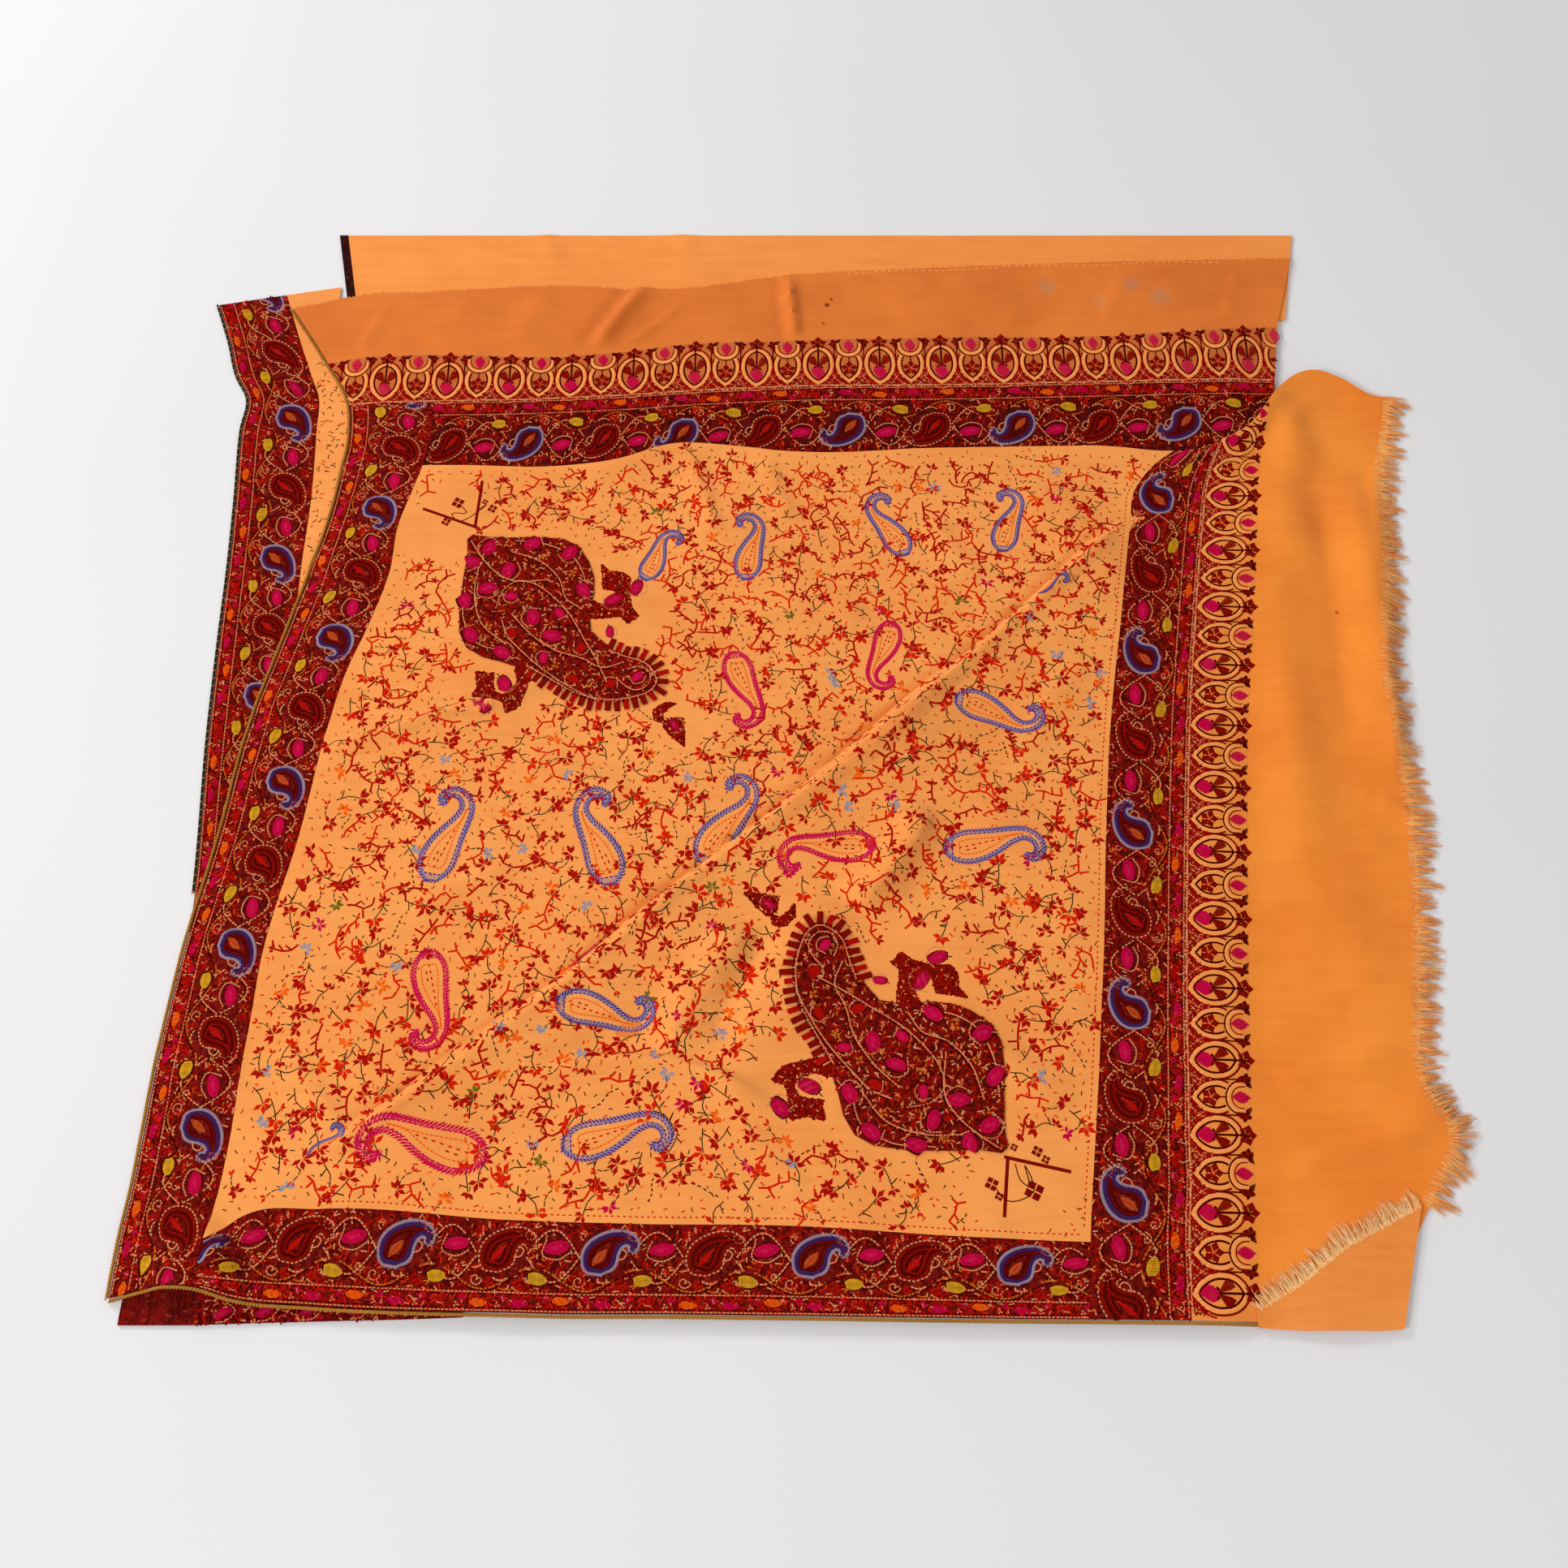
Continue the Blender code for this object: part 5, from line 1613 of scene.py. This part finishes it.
def corner_work():
    """The stitches of a corner paisley, along p from its base, with q towards its crest."""
    work = scatter((4, 227), (-60, 82), 4.2, CORNER_SHARES, 3.8, 1.25)

    def on_motif(p, q):
        hook, crest = corner_reach(p)
        return (q > -hook + 0.6) & (q < crest - 0.6)

    work.keep(on_motif)
    for points in CORNER_VEINS:
        line = curve(points, 50)
        work.add("dark", running(line + (0.6, 1.9), 3.0), 1.5, 0.5)
        work.add("tan", running(line, 3.0), 1.1, 0.65)
    for k, (p0, q0) in enumerate(CORNER_BUDS):
        small = k >= SMALL_BUDS_FROM
        size = 0.66 if small else 1.0
        work.clear(p0, q0, BUD_REACH * size)
        thread = "crimson" if small and k % 2 else "magenta"
        work.take(bud(thread, 15, 12.5), (p0, q0), 67 * k, size)
    for p0, q0 in CORNER_BLOSSOMS:
        work.take(flower("ochre", 4.6, 4), (p0, q0))
    work.keep(on_motif)
    # The crest: short spikes all round the long side and the tip.
    rim_line = spaced(curve(CORNER_CREST, 90), 3.7)
    off = ways_across(rim_line)
    off *= np.sign(off[0] @ (0, 1))
    for k, (thread, size, width) in enumerate(CORNER_SPIKES):
        root, out = rim_line[k :: len(CORNER_SPIKES)], off[k :: len(CORNER_SPIKES)]
        reach = size * rng.uniform(0.8, 1.15, (len(root), 1))
        work.add(thread, np.hstack([root - out * 3, root + out * reach]), width, 0.6)
    work.add("dark", running(rim_line - off * 1.2, 3.0), 1.4, 0.5)
    work.add("tan", running(rim_line - off * 3.2, 2.8), 1.0, 0.6)
    return work


def corner_outer():
    """What grows around a corner paisley, on the field: its hooks and the leaf beyond its tip."""
    work = Work()
    for corners in CORNER_HOOKS:
        work.take(filled(corners, HOOK_SHARES, 1.5, 3.8, 1.8))
    for p, q, turn, size in HOOK_BUDS:
        work.take(bud("magenta", 15, 12), (p, q), turn, size)
    for corners in (TIP_LEAF, TIP_HOOK):
        work.take(filled(corners, HOOK_SHARES, 1.5, 3.8, 1.8))
    work.take(bud("magenta", 12, 9), (264, 14), 10)
    return work


# The stems at the two corners of the field: lines from end to end, and the leaves and flowers beside them.
FIELD_STEMS = (
    ((-321, 267), (-271, 247), (-270, 296), (-273, 247)),
    ((163, -308), (212, -319), (166, -308), (161, -352)),
)
STEM_THREADS = (
    ((-289, 272), (-281, 262), (-295, 262), (-290, 254), (-264, 272), (-271, 266)),
    ((171, -313), (175, -326), (180, -330), (178, -314), (184, -333), (163, -340), (155, -330)),
)
STEM_FLOWERS = (
    (-290, 273, 6.5), (-299, 253, 5), (-259, 267, 5), (-266, 274, 3.5),
    (184, -333, 8.5), (153, -328, 6), (158, -337, 4), (188, -304, 5), (194, -310, 4), (171, -301, 3.5),
)


def field_stems():
    """The stems at the two corners of the field."""
    work = Work()
    for first, middle, second, last in FIELD_STEMS:
        for line in ((first, middle), (second, last)):
            work.add("maroon", running(line, 6.0), 2.9, 0.6)
    for line in STEM_THREADS:
        work.add("dark", running(curve(line, 24), 4.0), 0.9, 0.5)
    for x, y, size in STEM_FLOWERS:
        work.take(flower("maroon", size, 4, size * 0.95), (x, y))
    return work


# In a corner paisley's own p and q: its length, the room beside it, and boxes round what grows there.
CORNER_LENGTH = 232
CORNER_ROOM = 5
CORNER_BOXES = ((104, 190, -78, 0), (96, 172, 50, 120), (232, 288, -8, 28), (-58, 4, -40, 46))


def own_place(x, y, base_x, base_y, heading):
    """Places as a motif has them: along the way that it points, and to the left of it."""
    c, s = math.cos(math.radians(heading)), math.sin(math.radians(heading))
    dx, dy = x - base_x, y - base_y
    return dx * c + dy * s, dy * c - dx * s


def in_corner(x, y, margin):
    """Whether points lie in or near a corner paisley."""
    found = np.zeros(np.shape(x), bool)
    room = margin + CORNER_ROOM
    for base_x, base_y, heading, side in CORNER_PAISLEYS.values():
        p, q = own_place(x, y, base_x, base_y, heading)
        q = q * side
        hook, crest = corner_reach(p)
        found |= (p > -margin) & (p < CORNER_LENGTH + margin) & (q > -hook - room) & (q < crest + room)
        for p0, p1, q0, q1 in CORNER_BOXES:
            found |= (p > p0) & (p < p1) & (q > q0) & (q < q1)
    return found


def open_places(pitch, margin, corner_margin, paisley_margin):
    """Places over the field, about a pitch apart, clear of its edges and of its paisleys."""
    columns, rows = np.meshgrid(np.arange(-430, 400, pitch), np.arange(-380, 345, pitch * 0.88))
    columns = columns + (np.arange(len(rows)) % 2)[:, None] * pitch / 2
    x = (columns + rng.normal(0, pitch * 0.2, columns.shape)).ravel()
    y = (rows + rng.normal(0, pitch * 0.2, rows.shape)).ravel()
    free = clear_of("field_left", "field_right", OVER["field_bottom"], OVER["top_edge"], margin)(x, y)
    free &= ~in_corner(x, y, corner_margin)
    for row in SCATTERED_PAISLEYS:
        part = dict(zip(SCATTERED, row, strict=True))
        p, q = own_place(x, y, part["x"], part["y"], part["turn"])
        half_p, half_q = (reach * part["size"] + paisley_margin for reach in SCATTERED_REACH)
        free &= (p / half_p) ** 2 + (q / half_q) ** 2 > 1
    return x[free], y[free]


def leaf_star(work, thread, at, size, leaves, turn):
    """A few pointed leaves from one place, spread round a half turn or more."""
    for k in range(leaves):
        a = turn + (k - (leaves - 1) / 2) * rng.uniform(0.8, 1.1)
        reach = size * rng.uniform(0.85, 1.2)
        tip = (at[0] + reach * math.cos(a), at[1] + reach * math.sin(a))
        work.add(thread, [(*at, *tip)], size * 0.5, 0.5, True)


# The sprigs: the draw below which each kind comes where the field is poor, and how much lower that is where
# it is rich. The rest are flowers in rarer colours, by their shares.
SPRIG_KINDS = (("branch", 0.56, 0.32), ("dashes", 0.61, 0.35), ("leaves", 0.84, 0.1), ("flower", 0.94, 0.08))
RARE_FLOWERS = {"orange": 0.5, "blue": 0.2, "green": 0.15, "pink": 0.15}
FLOWER_THREADS = {
    "flower": "crimson",
    "orange": "orange",
    "blue": "blue_grey",
    "green": "green",
    "pink": "magenta",
}


def sprig(kind):
    """A small spray of stitches: thin red branches, leaves on a dark stem, or an open flower."""
    motif = Work()
    bend = rng.uniform(-0.8, 0.8)
    stem = curve([(-13, -2 * bend), (-5, 3 * bend), (3, 1 * bend), (11, 8 * bend)], 14)
    if kind == "branch":
        joints = [(-12, 0), (-5, rng.uniform(-4, 4)), (2, rng.uniform(-4, 4)), (9, rng.uniform(-7, 7))]
        thread = "red" if rng.random() < 0.65 else "crimson"
        motif.add(thread, running(joints, 7.4), 1.7, 0.45)
        for joint in joints[1:]:
            a = rng.uniform(0.7, 2.0) * rng.choice((-1, 1))
            size = rng.uniform(5, 9)
            motif.add(thread, [(*joint, joint[0] + size * math.cos(a), joint[1] + size * math.sin(a))], 1.7)
        if rng.random() < 0.6:
            leaf_star(motif, "crimson", joints[-1], 6.0, 3, rng.uniform(-1, 1))
        if rng.random() < 0.2:
            motif.add("black_green", running(stem * 0.7 + (2, 8), 4.6, 0.3), 1.0)
    elif kind == "leaves":
        motif.add("black_green", running(stem[4:], 4.0), 0.9)
        thread = "red" if rng.random() < 0.4 else "crimson"
        leaf_star(motif, thread, stem[-1], 8.2, 4, rng.uniform(-0.8, 0.8))
        if rng.random() < 0.55:
            leaf_star(motif, "crimson", stem[4], 6.6, 3, math.pi + rng.uniform(-1, 1))
        motif.add("black_green", [(*stem[6], stem[6][0] + 3, stem[6][1] + 6)], 1.0)
    elif kind == "dashes":
        motif.add("black_green", running(stem, 4.6, 0.35), 1.1)
    else:
        size = 7.4 if kind == "flower" else 6.4
        leaf_star(motif, FLOWER_THREADS[kind], (0, 0), size, 5, rng.uniform(0, 6))
        motif.add("black_green", running(curve([(2, 1), (6, 6), (13, 7)], 8), 4.4, 0.1), 0.9)
        leaf_star(motif, "red", (13, 7), 5.0, 2, 0.5)
    return motif


def scattered_paisleys(work):
    """The paisleys scattered on the field, each cut where it runs under the tuck."""
    for row in SCATTERED_PAISLEYS:
        part = dict(zip(SCATTERED, row, strict=True))
        at = part["x"], part["y"]
        motif = Work()
        motif.take(scattered_paisley(part["thread"]), at, part["turn"], part["size"], part["curl"])
        low = past_tuck(*at) > 0
        motif.keep(lambda x, y, low=low: (past_tuck(x, y) > 0.5) == low)
        work.take(motif)


def sprigs(work):
    """The sprigs between the paisleys, with more leaves and flowers towards the near right."""
    x, y = open_places(19.0, 11, 7, 4)
    rich = ease((x * 0.5 - y + 300) / 420)
    for px, py, many in zip(x, y, rich, strict=True):
        pick = rng.random()
        kind = next((kind for kind, poor, less in SPRIG_KINDS if pick < poor - less * many), None)
        if kind is None:
            kind = list(RARE_FLOWERS)[rng.choice(len(RARE_FLOWERS), p=list(RARE_FLOWERS.values()))]
        spray = sprig(kind)
        turn, size = rng.uniform(0, 360), rng.uniform(0.85, 1.15)
        work.take(spray, (px, py), turn, size, rng.choice((-1, 1)))


def field_dashes(work):
    """Single short stitches over the field, and the red running stitches inside its near and right seams."""
    x, y = open_places(9.6, 4, 3, -2)
    way = rng.uniform(0, math.pi, len(x))
    runs = dashes(x, y, way, rng.uniform(1.1, 2.2, len(x)))
    pick = rng.random(len(x))
    work.add("black_green", runs[pick < 0.42], 0.9, 0.35)
    work.add("red", runs[(pick >= 0.42) & (pick < 0.9)], 1.1, 0.35)
    work.add("orange", runs[pick >= 0.9], 1.1, 0.35)
    y = np.linspace(-360, 300, 165)
    x = np.linspace(-330, 216, 140)
    right = np.stack([UP["field_right"](y) - 5, y], -1)
    near = np.stack([x, OVER["field_bottom"](x) + 5], -1)
    for line in (right, near):
        work.add("red", running(line, 4.4, 0.5), 1.1, 0.4)


def field_embroidery():
    """Everything worked on the field apart from the corner paisleys' own grounds."""
    work = Work()
    scattered_paisleys(work)
    work.add("magenta", satin([(-173, -165), (-137, -132)], [0.4, 1.8, 0.4], 1.6, 0.6), 1.6, 0.55)
    work.take(field_stems())
    sprigs(work)
    field_dashes(work)
    for base_x, base_y, heading, side in CORNER_PAISLEYS.values():
        work.take(corner_outer(), (base_x, base_y), heading, 1.0, side)
    work.keep(clear_of("field_left", "field_right", OVER["field_bottom"], OVER["top_edge"], 1.5))
    return sew("field_stitches", work, field_side)


def corner_embroidery():
    """The dense stitches on the corner paisleys' grounds."""
    made = {}
    for name, (base_x, base_y, heading, side) in CORNER_PAISLEYS.items():
        work = Work()
        work.take(corner_work(), (base_x, base_y), heading, 1.0, side)
        made[name] = sew(name + "_stitches", work, raised_side)
    return made


def edge_line(across, along, side, pace=3.0):
    """The points along one side of a panel."""
    upright = side in ("left", "right")
    fine = np.linspace(0, len(along if upright else across) - 1, 240)
    ends = {"left": 0.0, "right": float(len(across) - 1), "near": 0.0, "far": float(len(along) - 1)}
    fixed = np.full_like(fine, ends[side])
    x, y = plan_points(across, along, *((fixed, fine) if upright else (fine, fixed)))
    return spaced(np.stack([x, y], -1), pace)


def edge_of(names, side, pace):
    """The points along one side of a row of the upper sheet's panels."""
    return np.concatenate([edge_line(*PANELS[name][:2], side, pace) for name in names])


def cord(name, line, heights, off, finish, radius, sides=8):
    """A rolled edge: a round cord beside the cloth."""
    middle = line + off * (EDGE_GAP + radius)
    a = np.linspace(0, 2 * math.pi, sides, endpoint=False)
    swell = 1 + 0.08 * np.sin(np.arange(len(line)) * 1.9)
    ring_x = middle[:, None, 0] + off[:, None, 0] * radius * (np.cos(a) * swell[:, None])
    ring_y = middle[:, None, 1] + off[:, None, 1] * radius * (np.cos(a) * swell[:, None])
    ring_z = heights[:, None] + radius * np.sin(a) * swell[:, None]
    points = np.stack([ring_x, ring_y, ring_z], -1).reshape(-1, 3)
    n = len(line)
    index = np.arange(n * sides).reshape(n, sides)
    faces = np.stack([index[:-1], np.roll(index[:-1], -1, 1), np.roll(index[1:], -1, 1), index[1:]], -1)
    caps = [index[0][::-1].tolist(), index[-1].tolist()]
    return mesh_object(name, points, faces.reshape(-1, 4).tolist() + caps, [finish])


def overcast(name, line, heights, off, threads, radius):
    """Slanted stitches wound over a rolled edge."""
    middle = line + off * (EDGE_GAP + radius)
    way = np.gradient(middle, axis=0)
    points, faces, slots = [], [], []
    a = np.linspace(-0.35 * math.pi, 1.1 * math.pi, 6)
    for i in range(len(line)):
        lean = (a - a[0]) / (a[-1] - a[0]) - 0.5
        for half in (-0.28, 0.28):
            shift = way[i] * (lean + half)[:, None] * 0.8
            p = middle[i] + off[i] * (radius * 1.12 * np.cos(a))[:, None] + shift
            z = heights[i] + radius * 1.12 * np.sin(a)
            points.append(np.column_stack([p, z]))
        first = i * 12
        for k in range(5):
            faces.append((first + k, first + k + 1, first + 6 + k + 1, first + 6 + k))
            slots.append(i * len(threads) // 3 % len(threads) if len(threads) > 1 else 0)
    return mesh_object(name, np.concatenate(points), faces, [MATERIALS[t] for t in threads], slots, 0)


# The hems: the pace of their points, how far their cords lie below the cloth's upper side, the panels that
# each runs along, and where the lower one starts and how high it lies.
HEM_PACE = 2.4
HEM_DROP = 0.6
HEM_PANELS = {
    "left": ("border_left", "arch_row_top", "plain_end_top"),
    "near": ("border_left", "border_bottom", "border_right", "arch_row_right"),
}
LOWER_HEM_FROM = -96
LOWER_HEM_HEIGHT = 1.15


def rolled_hem(name, line, heights, sign, finish, threads, radii):
    """A rolled hem in the place of its solid: its cord, and the thread wound over it."""
    off = ways_across(line) * sign
    roll = cord(name + "_cord", line, heights, off, finish, radii[0])
    wound = overcast(name + "_stitches", line, heights, off, threads, radii[1])
    return takes_over(roll, name), wound


def hems():
    """The rolled golden hems of the sheet on top, and the dark one of the sheet below."""
    gold = wool("gold_cord", (188, 130, 56), (120, 74, 26), 0.5, 0.4)
    made = {}
    for name, side, sign in (("hem_left", "left", 1), ("hem_bottom", "near", -1)):
        line = edge_of(HEM_PANELS[side], side, HEM_PACE)
        x, y = line.T
        heights = upper_side(x, y)
        if name == "hem_left":
            heights = np.where(y > OVER["top_stripe"](x), strip_side(x, y), heights)
        apart = np.append(True, np.hypot(*np.diff(line, axis=0).T) > 1.0)
        line, heights = line[apart], (heights - HEM_DROP)[apart]
        made[name] = rolled_hem(name, line, heights, sign, gold, ("gold",), (1.15, 1.25))
    line = edge_line(*LOWER_PANELS["lower_border"][:2], "left", HEM_PACE)
    line = line[line[:, 1] > LOWER_HEM_FROM]
    heights = np.full(len(line), LOWER_HEM_HEIGHT)
    dark = wool("dark_cord", (58, 56, 36), (26, 30, 24), 0.5, 0.4)
    threads = ("gold", "bottle", "bottle")
    made["lower_hem"] = rolled_hem("lower_hem", line, heights, 1, dark, threads, (1.0, 1.05))
    return made


def frayed(name, line, off, root_height, threads, length, count, tuft, droop, radius, held=1.0):
    """Loose threads along an edge, gathered in uneven tufts. Each is a thin three-sided tapering strand."""
    run = run_of(line)
    place = np.sort(rng.uniform(0, run[-1], count))
    tufts = np.arange(0, run[-1] + tuft, tuft)
    tufts = tufts + rng.uniform(-0.3, 0.3, int((run[-1] + tuft) // tuft) + 1) * tuft
    home = np.abs(place[:, None] - tufts[None]).argmin(1)
    grip = rng.uniform(0.15, 0.75, len(tufts))[home]
    size = length * rng.uniform(0.62, 1.15, len(tufts))[home] * rng.uniform(0.7, 1.12, count)
    lean = rng.uniform(-2.6, 2.6, len(tufts))[home] + rng.normal(0, 0.9, count)
    gather = (tufts[home] - place) * grip + lean
    bend = rng.normal(0, 0.7, count)
    root, out = placed_on(place, run, line), placed_on(place, run, off)
    side = placed_on(place, run, np.gradient(line, run, axis=0))
    base = root_height(root[:, 0], root[:, 1])
    levels = np.array([0.0, 0.25, 0.5, 0.75, 1.0])
    lift = rng.uniform(-0.2, 1.8, count)
    inset = rng.uniform(0.2, 1.0, count) * held
    points = np.zeros((count, len(levels), 3, 3))
    for k, t in enumerate(levels):
        shift = gather * t**1.4 + bend * math.sin(math.pi * t)
        reach = (size + inset) * t - inset
        free = np.clip(reach / size, 0, 1)
        p = root + out * reach[:, None] + side * shift[:, None]
        laid = np.where(reach < 0, root_height(p[:, 0], p[:, 1]) + radius * 0.5, base * (1 - free) ** droop)
        z = np.maximum(laid + 0.6 * free + lift * np.sin(math.pi * free), 0.42)
        thick = radius * (1.1 - 0.85 * t)
        for j in range(3):
            a = 2 * math.pi * j / 3 + math.pi / 2
            points[:, k, j, :2] = p + side * (thick * math.cos(a))
            points[:, k, j, 2] = z + thick * math.sin(a)
    index = np.arange(count * len(levels) * 3).reshape(count, len(levels), 3)
    a, b = index[:, :-1], index[:, 1:]
    faces = np.stack([a, b, np.roll(b, -1, 2), np.roll(a, -1, 2)], -1)
    slots = np.repeat(rng.integers(0, len(threads), count), faces.shape[1] * 3)
    return mesh_object(name, points.reshape(-1, 3), faces.reshape(-1, 4), threads, slots, 0)


def loose_threads(shades):
    """The finishes of loose threads, from their names and colours."""
    matt = {"Roughness": 0.9, "Sheen_Weight": 0.1, "Specular_IOR_Level": 0.05}
    return [Recipe("frayed_" + n, Base_Color=linear(c), **matt).material for n, c in shades.items()]


# The frayed edges: the shades of their threads, and how long, how many and how gathered they are.
BRIGHT_SHADES = {"light": (255, 200, 124), "mid": (255, 178, 94), "deep": (255, 156, 68)}
DULL_SHADES = {"straw": (255, 220, 164), "sand": (252, 202, 138), "rust": (252, 182, 104)}
FRAYS = {
    "fringe_right": {"length": 18.0, "count": 2500, "tuft": 6.5, "droop": 1.3, "radius": 0.42, "held": 7.0},
    "fringe_corner": {"length": 15.5, "count": 560, "tuft": 5.5, "droop": 0.4, "radius": 0.38, "held": 3.0},
    "fringe_far": {"length": 4.0, "count": 900, "tuft": 6.0, "droop": 1.0, "radius": 0.24},
}
FRINGE_PACE = 2.0
FRINGE_RIGHT_FROM = -344


def fringes():
    """The frayed edges."""
    bright, dull = loose_threads(BRIGHT_SHADES), loose_threads(DULL_SHADES)
    right = edge_of(("plain_end_right",), "right", FRINGE_PACE)
    right = right[right[:, 1] > FRINGE_RIGHT_FROM]
    far, _ = corner_lines()
    share = np.linspace(0.02, 0.98, 90)
    corner = np.stack([far[0](share), far[1](share)], -1)
    top = edge_of(("plain_end_top",), "far", FRINGE_PACE)
    edges = {
        "fringe_right": (right, -1, upper_side, bright),
        "fringe_corner": (corner, 1, lambda x, y: corner_side(x, y) - 0.2, dull),
        "fringe_far": (top, 1, lambda x, y: strip_side(x, y) - 0.5, bright),
    }
    made = {}
    for name, (line, sign, root_height, threads) in edges.items():
        off = ways_across(line) * sign
        piece = frayed(name + "_threads", line, off, root_height, threads, **FRAYS[name])
        made[name] = takes_over(piece, name)
    return made


def hidden_layers():
    """The hidden folds keep their solid, and show plain wool at their layered edges."""
    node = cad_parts["hidden_folds"]
    node.data.materials.clear()
    node.data.materials.append(wool("hidden_wool", (236, 140, 62), (206, 104, 40), 0.4, 0.3))


def declare(panels, stitches, edges, frays, lip, tacking):
    """Works out which pieces are sheets of cloth, their flat sizes and areas, what is sewn to them, how each
    is held and what it lies on, but does nothing with these.
    """
    cloth = {name: panel for name, (panel, *_) in panels.items()}
    corners = list(CORNER_PAISLEYS)
    sewn_on = {
        "field": [*(stitches[n] for n in corners), *(cloth[n] for n in corners), lip],
        "plain_end_top": [tacking, frays["fringe_far"]],
        "plain_end_right": [frays["fringe_right"]],
        "folded_corner": [frays["fringe_corner"]],
        "border_left": edges["hem_left"],
        "border_bottom": edges["hem_bottom"],
        "lower_border": [*edges["lower_hem"], cloth["lower_border_near"], stitches["lower_border_near"]],
        "under_end": [cloth["under_end_binding"]],
    }
    for name, (panel, x, y) in panels.items():
        if name in (*corners, "lower_border_near", "under_end_binding"):
            continue
        flat, area = cut_size(x, y)
        area = min(area, flat[0] * flat[1])
        sewn = [stitches[name]] if name in stitches else []
        sewn += sewn_on.get(name, [])
        held = "folded" if name in ("field", "folded_corner") else "laid"
        below = "plain_end_right" if name == "folded_corner" else "hidden_folds"


# The world's strength, each lamp's place, size and power, the table's half width and height, and the
# width of the camera's sensor.
WORLD_STRENGTH = 0.47
LAMPS = {
    "window": ((-3.7, -2.2, 2.8), 1.1, 112.0),
    "far_window": ((-2.9, 2.4, 1.8), 0.9, 80.0),
    "fill": ((0.5, -1.5, 2.2), 1.8, 8.0),
}
TABLE_HALF = 4.0
TABLE_HEIGHT = -0.0004
SENSOR_WIDTH = 36.0


def studio():
    """The pale table, the soft light from the upper left and the camera."""
    corners = ((-1, -1), (1, -1), (1, 1), (-1, 1))
    mesh = bpy.data.meshes.new("table_top")
    points = [(x * TABLE_HALF, y * TABLE_HALF, TABLE_HEIGHT) for x, y in corners]
    mesh.from_pydata(points, [], [(0, 1, 2, 3)])
    mesh.materials.append(table_top())
    table = stand("table_top", mesh)
    world = bpy.data.worlds.new("studio")
    world.use_nodes = True
    world.node_tree.nodes["Background"].inputs["Color"].default_value = (1.0, 0.99, 0.985, 1)
    world.node_tree.nodes["Background"].inputs["Strength"].default_value = WORLD_STRENGTH
    bpy.context.scene.world = world
    for name, (place, size, power) in LAMPS.items():
        lamp = bpy.data.lights.new(name, "AREA")
        lamp.shape = "DISK"
        lamp.size = size
        lamp.energy = power
        aim = -np.array(place, float)
        flat = math.hypot(aim[0], aim[1])
        stand(name, lamp, place, (math.atan2(flat, -aim[2]), 0, math.atan2(aim[1], aim[0]) - math.pi / 2))
    camera = bpy.data.cameras.new("camera")
    camera.lens = CAMERA_LENS
    camera.sensor_width = SENSOR_WIDTH
    up = math.radians(CAMERA_ELEVATION)
    back, high = CAMERA_DISTANCE * math.cos(up), CAMERA_DISTANCE * math.sin(up)
    place = (-MIDDLE[0] * MM, -MIDDLE[1] * MM - back, high)
    bpy.context.scene.camera = stand("camera", camera, place, (math.pi / 2 - up, 0, 0))
    bpy.context.scene.view_settings.view_transform = "Standard"


panels = upper_sheet() | sheet_below() | end_below() | folded_corner() | corner_patches()
stitches = borders() | below_stitches() | arch_rows() | {"field": field_embroidery()} | corner_embroidery()
edges = hems()
frays = fringes()
lip, tacking = tuck_lip(), strip_edge_stitches()
hidden_layers()
declare(panels, stitches, edges, frays, lip, tacking)
studio()
